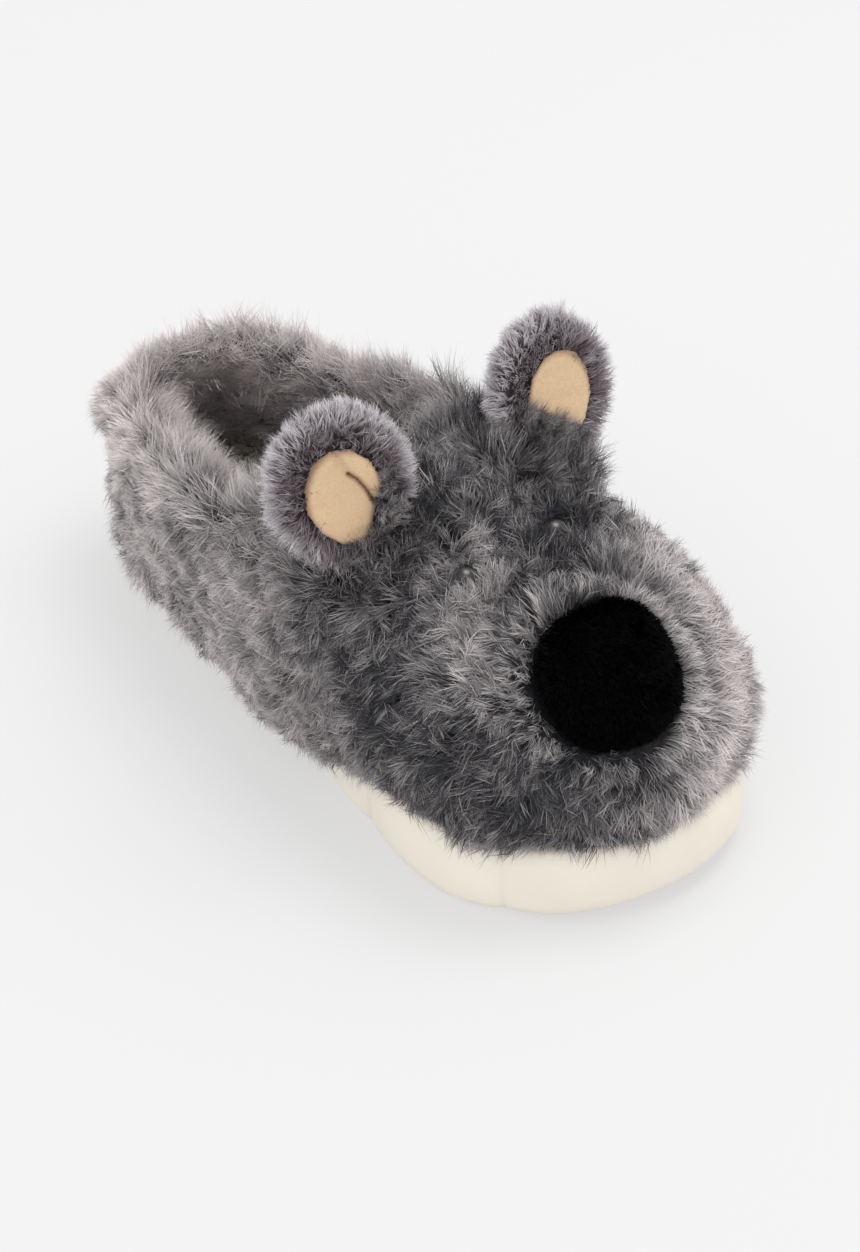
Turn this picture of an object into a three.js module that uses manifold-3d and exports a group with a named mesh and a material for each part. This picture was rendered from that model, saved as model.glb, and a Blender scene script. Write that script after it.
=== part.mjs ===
// Plush novelty slipper with an animal face, the wearer's right shoe.
// Millimetres. +Y runs to the toe, +X to the outer side of the foot, +Z up, the floor at zero.
import * as THREE from "three";
import { mergeVertices, toCreasedNormals } from "three/addons/utils/BufferGeometryUtils.js";
import Module from "manifold-3d";

// Sole
const SOLE_LENGTH = 267;
const BALL_WIDTH = 114;
const HEEL_WIDTH = 76;
const SOLE_HEIGHT = 28;
const SOLE_EDGE = 4;
const TOE_SPRING = 6;
const TOE_LIP = 3;
const ARCH_LIFT = 3.5;
const LOBE_DEPTH = 2.6;
const TREAD_DEPTH = 2.5;
const TREAD_GROOVE = 4;
const TREAD_PITCH = 15;
const TREAD_MARGIN = 11;

// Upper
const COLLAR_HEIGHT = 48;
const HEAD_HEIGHT = 81;
const MUZZLE_HEIGHT = 60;
const HANG = 16;
const WALL = 11;
const STUFFING = 6;
const COLLAR_ROLL = 5;
const FOOTBED = 5;
const FOOTBED_DISH = 2;

// Pile
const LOCK_SPACING = 21.5;
const LOCK_LENGTH = 27;
const LOCK_WIDTH = 22;
const LOCK_LIFT = 5.5;
const LOCK_ROOT = 3;

// Face
const EAR_WIDTH = 46;
const EAR_HEIGHT = 54;
const EAR_THICKNESS = 15;
const EAR_CUP = 5;
const EAR_SINK = 9;
const EAR_SPREAD = 38.5;
const LINING_WIDTH = 26;
const LINING_HEIGHT = 33;
const LINING_THICKNESS = 2.4;
const LINING_DROP = 1;
const NOSE_WIDTH = 50;
const NOSE_HEIGHT = 48;
const NOSE_DEPTH = 26;
const NOSE_TILT = 43;
const EYE_SIZE = 10;
const EYE_SPREAD = 18;
const EYE_SINK = 1.5;

// Free space between two pieces that meet
const GAP = 0.3;

// Outline of the sole seen from above, once round from the heel through the outer side.
// Columns: x as a share of the local width, y as a share of the sole's length.
const OUTLINE = [
  [0.039, -0.468],
  [0.250, -0.455],
  [0.408, -0.412],
  [0.487, -0.345],
  [0.526, -0.262],
  [0.513, -0.150],
  [0.479, -0.037],
  [0.460, 0.075],
  [0.472, 0.187],
  [0.487, 0.281],
  [0.469, 0.356],
  [0.399, 0.419],
  [0.289, 0.476],
  [0.132, 0.513],
  [-0.053, 0.528],
  [-0.237, 0.513],
  [-0.368, 0.476],
  [-0.452, 0.416],
  [-0.491, 0.352],
  [-0.478, 0.270],
  [-0.452, 0.199],
  [-0.418, 0.094],
  [-0.407, 0.007],
  [-0.381, -0.075],
  [-0.375, -0.150],
  [-0.408, -0.255],
  [-0.382, -0.345],
  [-0.303, -0.412],
  [-0.158, -0.455],
];

// Notches between the lobes of the sole, as y shares of the sole's length.
const OUTER_NOTCHES = [-0.395, -0.25, -0.105, 0.04, 0.19, 0.415];
const INNER_NOTCHES = [0.43, 0.28, 0.12, -0.06, -0.22, -0.385];

// Rounding of the sole's wall. Columns: share of its height, inset as a share of SOLE_EDGE.
const SOLE_WALL = [
  [0, 1],
  [0.06, 0.35],
  [0.2, 0],
  [0.8, 0.25],
  [1, 1],
];

// Sections of the plush body from heel to toe.
// Columns: y share of the length, inner and outer half widths as shares of the local width,
// top as shares of the collar, head and muzzle heights, low edge on the inner and outer side
// as shares of HANG under the sole's top, and the squareness of the section.
const BODY_ROWS = [
  [-0.489, 0.079, 0.132, 0.625, 0, 0, -0.75, -0.75, 2.2],
  [-0.479, 0.184, 0.224, 0.792, 0, 0, -0.062, -0.062, 2.6],
  [-0.463, 0.303, 0.342, 0.917, 0, 0, 0.375, 0.5, 3.2],
  [-0.434, 0.395, 0.434, 0.979, 0, 0, 0.5, 0.75, 3.8],
  [-0.39, 0.48, 0.52, 1.01, 0, 0, 0.438, 0.938, 4.2],
  [-0.322, 0.539, 0.592, 1.042, 0, 0, 0.375, 1, 4.2],
  [-0.24, 0.572, 0.657, 1.125, 0, 0, 0.375, 1, 4.2],
  [-0.15, 0.575, 0.675, 0.75, 0.346, 0, 0.312, 1, 4.0],
  [-0.075, 0.565, 0.652, 0.4, 0.664, 0, 0.312, 1, 3.5],
  [0, 0.547, 0.637, 0.1, 0.904, 0, 0.312, 0.938, 3.0],
  [0.067, 0.527, 0.605, 0, 0.994, 0, 0.25, 0.688, 2.7],
  [0.127, 0.517, 0.577, 0, 1, 0, 0.25, 0.438, 2.6],
  [0.172, 0.489, 0.529, 0, 0.951, 0, 0.188, 0.25, 2.5],
  [0.217, 0.515, 0.528, 0, 0.55, 0.391, 0.125, 0.062, 2.4],
  [0.262, 0.544, 0.518, 0, 0.2, 0.763, 0.062, 0, 2.4],
  [0.315, 0.548, 0.518, 0, 0, 0.967, 0, -0.062, 2.4],
  [0.367, 0.535, 0.491, 0, 0, 0.833, -0.031, -0.094, 2.4],
  [0.412, 0.5, 0.43, 0, 0, 0.675, -0.062, -0.125, 2.4],
  [0.453, 0.434, 0.338, 0, 0, 0.533, -0.062, -0.125, 2.3],
  [0.483, 0.342, 0.237, 0, 0, 0.417, -0.094, -0.125, 2.3],
  [0.504, 0.254, 0.132, 0, 0, 0.325, -0.125, -0.188, 2.2],
  [0.519, 0.14, 0.035, 0, 0, 0.217, -0.25, -0.312, 2.2],
];
const BODY_COLUMNS = ["y", "inner", "outer", "collar", "head", "muzzle", "low", "lowOut", "square"];
const BODY = BODY_ROWS.map((row) => Object.fromEntries(row.map((value, i) => [BODY_COLUMNS[i], value])));
const HEEL_END = BODY[0].y;
const TOE_END = BODY[BODY.length - 1].y;

// Places of the face, as shares of the sole's length.
const EAR_Y = 0.13;
const EYE_Y = 0.232;
const NOSE_Y = 0.4;
const THROAT_START = -0.16;
const THROAT_END = 0.01;

// How each ear stands. Columns: name, side, lean outwards, turn outwards and lean back in degrees.
const EARS = [
  { name: "left", side: -1, lean: 12, turn: -4, back: 14 },
  { name: "right", side: 1, lean: 10, turn: 16, back: 14 },
];

const wasm = await Module();
wasm.setup();

const clamp = (value, low, high) => Math.min(high, Math.max(low, value));
const mix = (a, b, t) => a + (b - a) * t;
const radians = (degrees) => (degrees * Math.PI) / 180;

function smoothstep(low, high, value) {
  const t = clamp((value - low) / (high - low), 0, 1);
  return t * t * (3 - 2 * t);
}

// Width of the foot's plan at a place along the length, from heel width to ball width.
function localWidth(y) {
  return mix(HEEL_WIDTH, BALL_WIDTH, smoothstep(-0.25, 0.25, y / SOLE_LENGTH));
}

// Smooth value of one table column at a place along the length.
function tableValue(rows, key, share) {
  const last = rows.length - 1;
  if (share <= rows[0].y) return rows[0][key];
  if (share >= rows[last].y) return rows[last][key];
  let i = 0;
  while (rows[i + 1].y < share) i += 1;
  const before = rows[Math.max(i - 1, 0)];
  const a = rows[i];
  const b = rows[i + 1];
  const after = rows[Math.min(i + 2, last)];
  const span = b.y - a.y;
  const t = (share - a.y) / span;
  const slopeA = i === 0 ? (b[key] - a[key]) / span : (b[key] - before[key]) / (b.y - before.y);
  const slopeB = i + 1 === last ? (b[key] - a[key]) / span : (after[key] - a[key]) / (after.y - a.y);
  const t2 = t * t;
  const t3 = t2 * t;
  return (
    (2 * t3 - 3 * t2 + 1) * a[key] +
    (t3 - 2 * t2 + t) * span * slopeA +
    (-2 * t3 + 3 * t2) * b[key] +
    (t3 - t2) * span * slopeB
  );
}

// One section of the plush body at y.
function bodySection(y) {
  const share = y / SOLE_LENGTH;
  const read = (key) => tableValue(BODY, key, share);
  const width = localWidth(y);
  const collar = read("collar") * COLLAR_HEIGHT;
  const head = read("head") * HEAD_HEIGHT;
  const muzzle = read("muzzle") * MUZZLE_HEIGHT;
  const top = SOLE_HEIGHT + collar + head + muzzle;
  return {
    inner: read("inner") * width,
    outer: read("outer") * width,
    top,
    low: SOLE_HEIGHT - read("low") * HANG,
    lowOut: SOLE_HEIGHT - read("lowOut") * HANG,
    square: read("square"),
  };
}

// Height of the widest line of a section between its low edge and its top.
const WIDEST = 0.36;
const TUCK = 0.08;

// Half a section from the low edge up to the ridge, as [distance out, height] pairs.
function halfSection(half, low, top, square, steps) {
  const widest = mix(low, top, WIDEST);
  const points = [];
  const lowSteps = Math.round(steps / 3);
  for (let i = 0; i < lowSteps; i += 1) {
    const t = i / lowSteps;
    points.push([half * (1 - TUCK * (1 - t) ** 2), mix(low, widest, t)]);
  }
  for (let i = 0; i <= steps - lowSteps; i += 1) {
    const angle = ((i / (steps - lowSteps)) * Math.PI) / 2;
    const out = half * Math.cos(angle) ** (2 / square);
    const up = Math.sin(angle) ** (2 / square);
    points.push([out, mix(widest, top, up)]);
  }
  points[points.length - 1][0] = 0;
  return points;
}

// Full ring of a section: up the inner side, over the ridge, down the outer side.
function sectionRing(y, section, steps) {
  const inner = halfSection(section.inner, section.low, section.top, section.square, steps);
  const outer = halfSection(section.outer, section.lowOut, section.top, section.square, steps);
  const ring = inner.map(([out, z]) => [-out, y, z]);
  for (let i = outer.length - 2; i >= 0; i -= 1) ring.push([outer[i][0], y, outer[i][1]]);
  return ring;
}

// Closed solid through rings of equal length, with a fan over each end.
function skin(rings) {
  const count = rings[0].length;
  const positions = rings.flat(2);
  const index = [];
  for (let r = 0; r + 1 < rings.length; r += 1) {
    for (let i = 0; i < count; i += 1) {
      const j = (i + 1) % count;
      const a = r * count + i;
      const b = r * count + j;
      const c = a + count;
      const d = b + count;
      index.push(a, b, d, a, d, c);
    }
  }
  const ends = [0, rings.length - 1];
  for (const r of ends) {
    const middle = [0, 0, 0];
    for (const point of rings[r]) point.forEach((value, k) => (middle[k] += value / count));
    const centre = positions.length / 3;
    positions.push(...middle);
    for (let i = 0; i < count; i += 1) {
      const a = r * count + i;
      const b = r * count + ((i + 1) % count);
      if (r === 0) index.push(centre, b, a);
      else index.push(centre, a, b);
    }
  }
  const geometry = new THREE.BufferGeometry();
  geometry.setAttribute("position", new THREE.Float32BufferAttribute(positions, 3));
  geometry.setIndex(index);
  return geometry;
}

// Volume enclosed by an indexed geometry, negative when its faces point inwards.
function signedVolume(geometry) {
  const position = geometry.attributes.position;
  const index = geometry.index;
  const a = new THREE.Vector3();
  const b = new THREE.Vector3();
  const c = new THREE.Vector3();
  let volume = 0;
  for (let i = 0; i < index.count; i += 3) {
    a.fromBufferAttribute(position, index.getX(i));
    b.fromBufferAttribute(position, index.getX(i + 1));
    c.fromBufferAttribute(position, index.getX(i + 2));
    volume += a.dot(b.cross(c)) / 6;
  }
  return volume;
}

// A closed geometry as a solid that can be joined and cut.
function solid(source) {
  const bare = source.clone();
  bare.deleteAttribute("normal");
  bare.deleteAttribute("uv");
  const geometry = mergeVertices(bare, 1e-4);
  const triVerts = Uint32Array.from(geometry.index.array);
  if (signedVolume(geometry) < 0) {
    for (let i = 0; i < triVerts.length; i += 3) {
      const keep = triVerts[i + 1];
      triVerts[i + 1] = triVerts[i + 2];
      triVerts[i + 2] = keep;
    }
  }
  const vertProperties = Float32Array.from(geometry.attributes.position.array);
  return new wasm.Manifold(new wasm.Mesh({ numProp: 3, vertProperties, triVerts }));
}

// A solid back as a geometry with creased normals.
function surface(shape) {
  const mesh = shape.getMesh();
  const geometry = new THREE.BufferGeometry();
  const positions = [];
  for (let i = 0; i < mesh.numVert; i += 1) {
    for (let k = 0; k < 3; k += 1) positions.push(mesh.vertProperties[i * mesh.numProp + k]);
  }
  geometry.setAttribute("position", new THREE.Float32BufferAttribute(positions, 3));
  geometry.setIndex(Array.from(mesh.triVerts));
  return toCreasedNormals(geometry, radians(38));
}

// SOLE

const outlineCurve = new THREE.CatmullRomCurve3(
  OUTLINE.map(([x, y]) => new THREE.Vector3(x * localWidth(y * SOLE_LENGTH), y * SOLE_LENGTH, 0)),
  true,
  "centripetal"
);
const TOE_TURN = 0.5;

// Place of a notch along the outline, found by its y on the outer or the inner side.
function notchPlace(share, outerSide) {
  let best = 0;
  let distance = Infinity;
  for (let i = 0; i <= 400; i += 1) {
    const u = outerSide ? (i / 400) * TOE_TURN : mix(TOE_TURN, 1, i / 400);
    const away = Math.abs(outlineCurve.getPointAt(u % 1).y - share * SOLE_LENGTH);
    if (away < distance) {
      distance = away;
      best = u;
    }
  }
  return best;
}

const notches = [
  ...OUTER_NOTCHES.map((share) => notchPlace(share, true)),
  ...INNER_NOTCHES.map((share) => notchPlace(share, false)),
].sort((a, b) => a - b);

// Samples along the outline: place, and how far the lobe is drawn in there.
const LOBE_STEPS = [0, 0.08, 0.28, 0.5, 0.72, 0.92];
const outlineSamples = [];
notches.forEach((start, i) => {
  const end = i + 1 < notches.length ? notches[i + 1] : notches[0] + 1;
  const steps = (end - start) * outlineCurve.getLength() > BALL_WIDTH * 0.5 ? 2 : 1;
  for (let k = 0; k < LOBE_STEPS.length; k += 1) {
    const here = LOBE_STEPS[k];
    const next = k + 1 < LOBE_STEPS.length ? LOBE_STEPS[k + 1] : 1;
    for (let s = 0; s < steps; s += 1) {
      const t = mix(here, next, s / steps);
      const draw = 1 - Math.sin(Math.PI * t) ** 0.45;
      outlineSamples.push({ u: mix(start, end, t) % 1, draw });
    }
  }
});

// The outline moved in by a distance, with or without its lobes.
function outlineRing(inset, lobes) {
  return outlineSamples.map(({ u, draw }) => {
    const point = outlineCurve.getPointAt(u);
    const tangent = outlineCurve.getTangentAt(u);
    const move = inset + (lobes ? draw * LOBE_DEPTH : 0);
    return [point.x - tangent.y * move, point.y + tangent.x * move];
  });
}

// Underside of the sole along the length: flat heel and forefoot, raised arch and toe.
function soleBottom(y) {
  const share = y / SOLE_LENGTH;
  const arch = ARCH_LIFT * smoothstep(-0.24, -0.14, share) * (1 - smoothstep(0.02, 0.12, share));
  const spring = TOE_SPRING * clamp((share - 0.36) / 0.158, 0, 1.1) ** 2;
  return arch + spring;
}

// Top of the sole's wall along the length, with a small lip towards the toe.
function soleTop(y) {
  return SOLE_HEIGHT + TOE_LIP * smoothstep(0.42, 0.52, y / SOLE_LENGTH);
}

// Strip of triangles between the two flanks of a ring, for a cap that bends along the length.
function capStrip(ring, offset, up, index) {
  const count = ring.length;
  let heel = 0;
  let toe = 0;
  ring.forEach((point, i) => {
    if (point[1] < ring[heel][1]) heel = i;
    if (point[1] > ring[toe][1]) toe = i;
  });
  const right = [];
  for (let i = heel; i !== toe; i = (i + 1) % count) right.push(i);
  right.push(toe);
  const left = [];
  for (let i = heel; i !== toe; i = (i - 1 + count) % count) left.push(i);
  left.push(toe);
  let a = 0;
  let b = 0;
  const push = (p, q, r) => {
    const corners = up ? [p, q, r] : [p, r, q];
    index.push(...corners.map((corner) => corner + offset));
  };
  while (a + 1 < right.length || b + 1 < left.length) {
    const rightLeft = a + 1 < right.length;
    const leftLeft = b + 1 < left.length;
    const stepRight = !leftLeft || (rightLeft && ring[right[a + 1]][1] < ring[left[b + 1]][1]);
    if (stepRight) {
      if (left[b] !== right[a + 1] && right[a] !== left[b]) push(right[a], right[a + 1], left[b]);
      a += 1;
    } else {
      if (left[b + 1] !== right[a] && right[a] !== left[b]) push(right[a], left[b + 1], left[b]);
      b += 1;
    }
  }
}

// The sole with all its faces moved out by grow.
function soleBody(grow) {
  const count = outlineSamples.length;
  const positions = [];
  const levels = SOLE_WALL.map(([share, inset]) => {
    return { share, inset: inset * SOLE_EDGE - grow, lobes: true };
  });
  levels.unshift({ share: 0, inset: 2.2 * SOLE_EDGE, lobes: false });
  levels.push({ share: 1, inset: 2.2 * SOLE_EDGE, lobes: false });
  const rings = levels.map((level) => outlineRing(level.inset, level.lobes));
  rings.forEach((ring, k) => {
    for (const [x, y] of ring) {
      const z = mix(soleBottom(y) - grow, soleTop(y) + grow, levels[k].share);
      positions.push(x, y, z);
    }
  });
  const index = [];
  for (let k = 0; k + 1 < rings.length; k += 1) {
    for (let i = 0; i < count; i += 1) {
      const j = (i + 1) % count;
      const a = k * count + i;
      const b = k * count + j;
      index.push(a, b, b + count, a, b + count, a + count);
    }
  }
  capStrip(rings[0], 0, false, index);
  capStrip(rings[rings.length - 1], (rings.length - 1) * count, true, index);
  const geometry = new THREE.BufferGeometry();
  geometry.setAttribute("position", new THREE.Float32BufferAttribute(positions, 3));
  geometry.setIndex(index);
  return solid(geometry);
}

// A shallow curved groove across the tread at y, kept clear of the sole's edge.
function treadGroove(y) {
  const right = outlineRing(0, false).filter((point) => Math.abs(point[1] - y) < TREAD_PITCH * 0.8);
  const outer = Math.max(...right.map((point) => point[0])) - TREAD_MARGIN;
  const inner = Math.min(...right.map((point) => point[0])) + TREAD_MARGIN;
  const shape = new THREE.Shape();
  const steps = 6;
  const bow = (t) => TREAD_PITCH * 0.35 * Math.cos((t - 0.5) * Math.PI * 2);
  for (let i = 0; i <= steps; i += 1) {
    const t = i / steps;
    const x = mix(inner, outer, t);
    if (i === 0) shape.moveTo(x, y + bow(t) - TREAD_GROOVE / 2);
    else shape.lineTo(x, y + bow(t) - TREAD_GROOVE / 2);
  }
  for (let i = steps; i >= 0; i -= 1) {
    const t = i / steps;
    shape.lineTo(mix(inner, outer, t), y + bow(t) + TREAD_GROOVE / 2);
  }
  const geometry = new THREE.ExtrudeGeometry(shape, { depth: TREAD_DEPTH * 2, bevelEnabled: false });
  geometry.translate(0, 0, -TREAD_DEPTH);
  return solid(geometry);
}

const treadZones = [
  [-0.4, -0.25],
  [0.14, 0.34],
];
let soleShape = soleBody(0);
for (const [start, end] of treadZones) {
  const count = Math.max(1, Math.floor(((end - start) * SOLE_LENGTH) / TREAD_PITCH));
  for (let i = 0; i <= count; i += 1) {
    soleShape = soleShape.subtract(treadGroove(mix(start, end, i / count) * SOLE_LENGTH));
  }
}

// UPPER

// Smallest value of a profile less a ball of the given radius rolled along it.
function eroded(profile, y, radius) {
  let least = Infinity;
  for (let k = -6; k <= 6; k += 1) {
    const angle = (k / 6) * (Math.PI / 2);
    const at = y + radius * Math.sin(angle);
    const share = at / SOLE_LENGTH;
    const inside = share > HEEL_END && share < TOE_END;
    const value = inside ? profile(at) - radius * Math.cos(angle) : -radius;
    least = Math.min(least, value);
  }
  return least;
}

// Evenly eased places between two ends, closer together at both ends.
function stations(from, to, count, ends) {
  const list = [];
  for (let i = 0; i <= count; i += 1) {
    const t = i / count;
    list.push(mix(from, to, mix(t, (1 - Math.cos(Math.PI * t)) / 2, ends)));
  }
  return list;
}

function plushBody() {
  const places = stations(HEEL_END * SOLE_LENGTH, TOE_END * SOLE_LENGTH, 30, 0.75);
  return skin(places.map((y) => sectionRing(y, bodySection(y), 10)));
}

// Section of the foot's room at y, a wall's thickness inside the plush body.
function roomSection(y, clearance) {
  const inset = WALL + clearance;
  const inner = eroded((at) => bodySection(at).inner, y, inset);
  const outer = eroded((at) => bodySection(at).outer, y, inset);
  const stuffing = STUFFING * smoothstep(-0.05, 0.12, y / SOLE_LENGTH);
  const top = eroded((at) => bodySection(at).top, y, inset) - stuffing;
  return { inner, outer, top, low: SOLE_HEIGHT - 3, lowOut: SOLE_HEIGHT - 3, square: bodySection(y).square };
}

// Ends of the foot's room, where its half widths shrink to nothing.
function roomEnd(from, direction, clearance) {
  let y = from;
  const least = 0.05 * BALL_WIDTH;
  while (true) {
    const section = roomSection(y, clearance);
    const width = section.inner + section.outer;
    if (width > 2 * least && section.top > SOLE_HEIGHT + least) return y;
    y += direction * 0.5;
  }
}

function footRoom(clearance) {
  const heel = roomEnd(HEEL_END * SOLE_LENGTH, 1, clearance);
  const toe = roomEnd(TOE_END * SOLE_LENGTH, -1, clearance);
  const places = stations(heel, toe, 18, 0.75);
  return skin(places.map((y) => sectionRing(y, roomSection(y, clearance), 6)));
}

// Opening at the collar: the room's own outline carried up, closed by a round throat.
function collarCut() {
  const heel = roomEnd(HEEL_END * SOLE_LENGTH, 1, 0);
  const start = THROAT_START * SOLE_LENGTH;
  const rings = [];
  const rim = SOLE_HEIGHT + COLLAR_HEIGHT;
  const levels = [
    { z: SOLE_HEIGHT + FOOTBED + 2 * FOOTBED_DISH, roll: 0 },
    { z: rim - COLLAR_ROLL * 2.4, roll: 0 },
    { z: rim - COLLAR_ROLL * 1.2, roll: 0.3 },
    { z: rim, roll: 1 },
    { z: SOLE_HEIGHT + HEAD_HEIGHT * 1.3, roll: 2.2 },
  ];
  for (const level of levels) {
    const roll = level.roll * COLLAR_ROLL;
    const from = heel - roll;
    const to = THROAT_END * SOLE_LENGTH + roll;
    const inner = [];
    const outer = [];
    for (const y of stations(from, to, 18, 0.9)) {
      const inset = WALL - roll;
      const along = clamp((y - start) / (to - start), 0, 1);
      const close = (1 - along ** 2.6) ** (1 / 2.2);
      const at = Math.max(y, heel - roll + 0.01);
      const a = eroded((place) => bodySection(place).inner, at, inset) * close;
      const b = eroded((place) => bodySection(place).outer, at, inset) * close;
      const middle = (b - a) / 2;
      const half = Math.max((a + b) / 2, 0.5);
      inner.push([middle - half, y, level.z]);
      outer.push([middle + half, y, level.z]);
    }
    rings.push([...inner, ...outer.reverse()]);
  }
  return skin(rings);
}

// Point and outward normal of the plush body, by place along the length and turn round the section.
function bodyPoint(y, turn) {
  const section = bodySection(y);
  const steps = 48;
  const ring = sectionRing(y, section, steps);
  const at = clamp(turn, 0, 1) * (ring.length - 1);
  const i = Math.min(Math.floor(at), ring.length - 2);
  const t = at - i;
  return new THREE.Vector3(
    mix(ring[i][0], ring[i + 1][0], t),
    y,
    mix(ring[i][2], ring[i + 1][2], t)
  );
}

function bodyNormal(y, turn) {
  const step = 2;
  const along = bodyPoint(y + step, turn).sub(bodyPoint(y - step, turn));
  const round = bodyPoint(y, turn + 0.015).sub(bodyPoint(y, turn - 0.015));
  return along.cross(round).normalize();
}

// Height of the plush body above a point of the plan.
function bodyTop(x, y) {
  const section = bodySection(y);
  const half = x < 0 ? section.inner : section.outer;
  const low = x < 0 ? section.low : section.lowOut;
  const widest = mix(low, section.top, WIDEST);
  const share = clamp(Math.abs(x) / half, 0, 1);
  return mix(widest, section.top, (1 - share ** section.square) ** (1 / section.square));
}

// One lock of pile: rooted under the skin, its ridge rising to a tip that stands clear.
function lock(root, normal, lie, scale) {
  const side = new THREE.Vector3().crossVectors(normal, lie).normalize();
  const along = new THREE.Vector3().crossVectors(side, normal).normalize();
  const at = (forward, across, up) =>
    root
      .clone()
      .addScaledVector(along, forward * LOCK_LENGTH * scale)
      .addScaledVector(side, across * LOCK_WIDTH * scale)
      .addScaledVector(normal, up);
  const points = [
    at(-0.4, 0, -0.12 * LOCK_ROOT),
    at(0, -0.5, -LOCK_ROOT * scale),
    at(0, 0.5, -LOCK_ROOT * scale),
    at(0.6, 0, LOCK_LIFT * scale),
  ];
  const faces = [0, 1, 3, 0, 3, 2, 1, 2, 3, 0, 2, 1];
  const geometry = new THREE.BufferGeometry();
  geometry.setAttribute("position", new THREE.Float32BufferAttribute(points.flatMap((p) => p.toArray()), 3));
  geometry.setIndex(faces);
  return solid(geometry);
}

// Steady scatter between minus one and one for a whole number.
function scatter(n) {
  const value = Math.sin(n * 127.1 + 311.7) * 43758.5453;
  return 2 * (value - Math.floor(value)) - 1;
}

const NOSE_PROUD = 0.1;
const noseSeat = new THREE.Vector3(0, NOSE_Y * SOLE_LENGTH, bodySection(NOSE_Y * SOLE_LENGTH).top);
noseSeat.y += NOSE_PROUD * NOSE_DEPTH * Math.cos(radians(NOSE_TILT));
noseSeat.z += NOSE_PROUD * NOSE_DEPTH * Math.sin(radians(NOSE_TILT));

// Lie of the pile: away from the nose on the muzzle, back and down elsewhere.
function pileLie(point) {
  const away = point.clone().sub(noseSeat);
  const near = 1 - smoothstep(0.35, 0.8, away.length() / BALL_WIDTH);
  const down = new THREE.Vector3(Math.sign(point.x) * 0.25, -0.55, -0.8);
  return away.normalize().multiplyScalar(near).addScaledVector(down, 1 - near).normalize();
}

// Places that the locks leave free, each with its reach.
function bareSpots() {
  const spots = [{ at: noseSeat, reach: NOSE_WIDTH * 0.5 }];
  for (const { side } of EARS) {
    const earY = EAR_Y * SOLE_LENGTH;
    const eyeY = EYE_Y * SOLE_LENGTH;
    const earX = side * EAR_SPREAD;
    const eyeX = side * EYE_SPREAD;
    spots.push({ at: new THREE.Vector3(earX, earY, bodyTop(earX, earY)), reach: EAR_WIDTH * 0.4 });
    spots.push({ at: new THREE.Vector3(eyeX, eyeY, bodyTop(eyeX, eyeY)), reach: EYE_SIZE * 0.9 });
  }
  return spots;
}

function pileLocks() {
  const list = [];
  const spots = bareSpots();
  const rows = Math.round(((TOE_END - HEEL_END) * SOLE_LENGTH * 0.92) / (LOCK_SPACING * 0.86));
  let seed = 1;
  for (let r = 0; r <= rows; r += 1) {
    const y = mix(HEEL_END + 0.035, TOE_END - 0.03, r / rows) * SOLE_LENGTH;
    const section = bodySection(y);
    const girth = section.inner + section.outer + 2 * (section.top - SOLE_HEIGHT) * 0.8;
    const count = Math.max(3, Math.round(girth / LOCK_SPACING));
    for (let k = 0; k < count; k += 1) {
      const turn = (k + 0.5 + (r % 2 ? 0.25 : -0.25) + 0.12 * scatter(seed)) / count;
      const place = y + 0.15 * LOCK_SPACING * scatter(seed + 1);
      seed += 2;
      const root = bodyPoint(place, turn);
      const tooLow = root.z < SOLE_HEIGHT + 1 && root.y > 0;
      const inCollar = root.y < THROAT_END * SOLE_LENGTH + LOCK_LENGTH * 0.4 && Math.abs(turn - 0.5) < 0.19;
      const onFace = spots.some((spot) => spot.at.distanceTo(root) < spot.reach);
      if (tooLow || inCollar || onFace || turn < 0.05 || turn > 0.95) continue;
      list.push(lock(root, bodyNormal(place, turn), pileLie(root), 1 + 0.18 * scatter(seed)));
    }
  }
  return list;
}

// FACE

// Smooth rounded blob with thickness along Y, as wide and tall as asked.
function pad(width, thickness, height, power, across, up) {
  const geometry = new THREE.SphereGeometry(1, across, up);
  const position = geometry.attributes.position;
  for (let i = 0; i < position.count; i += 1) {
    const x = position.getX(i);
    const y = position.getZ(i);
    const z = position.getY(i);
    const depth = Math.sign(y) * Math.abs(y) ** power;
    position.setXYZ(i, (x * width) / 2, (depth * thickness) / 2, (z * height) / 2);
  }
  geometry.deleteAttribute("normal");
  geometry.deleteAttribute("uv");
  return mergeVertices(geometry, 1e-4);
}

// Cups an ear or its lining: the middle moves back from the rim, and the foot is drawn in.
function cupped(geometry) {
  const position = geometry.attributes.position;
  for (let i = 0; i < position.count; i += 1) {
    const x = position.getX(i) / (EAR_WIDTH / 2);
    const z = position.getZ(i) / (EAR_HEIGHT / 2);
    const reach = Math.min(x * x + z * z, 1.2);
    const narrow = 1 - 0.22 * smoothstep(0, -1, z);
    position.setX(i, position.getX(i) * narrow);
    position.setY(i, position.getY(i) + EAR_CUP * (reach - 0.5));
  }
  return geometry;
}

// Puts an ear piece in its place on the head.
function onHead(geometry, ear) {
  const x = ear.side * EAR_SPREAD;
  const y = EAR_Y * SOLE_LENGTH;
  geometry.translate(0, 0, EAR_HEIGHT / 2 - EAR_SINK);
  geometry.rotateX(radians(ear.back));
  geometry.rotateY(radians(ear.side * ear.lean));
  geometry.rotateZ(radians(-ear.side * ear.turn));
  geometry.translate(x, y, bodyTop(x, y));
  return geometry;
}

function earForm(ear, grow) {
  const size = 2 * grow;
  const form = pad(EAR_WIDTH + size, EAR_THICKNESS + size, EAR_HEIGHT + size, 0.72, 13, 8);
  return solid(onHead(cupped(form), ear));
}

function liningForm(ear, grow) {
  const size = 2 * grow;
  const form = pad(LINING_WIDTH + size, LINING_THICKNESS + size, LINING_HEIGHT + size, 0.6, 14, 6);
  form.translate(0, EAR_THICKNESS / 2 - LINING_THICKNESS * 0.1, -LINING_DROP);
  return solid(onHead(cupped(form), ear));
}

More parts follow.
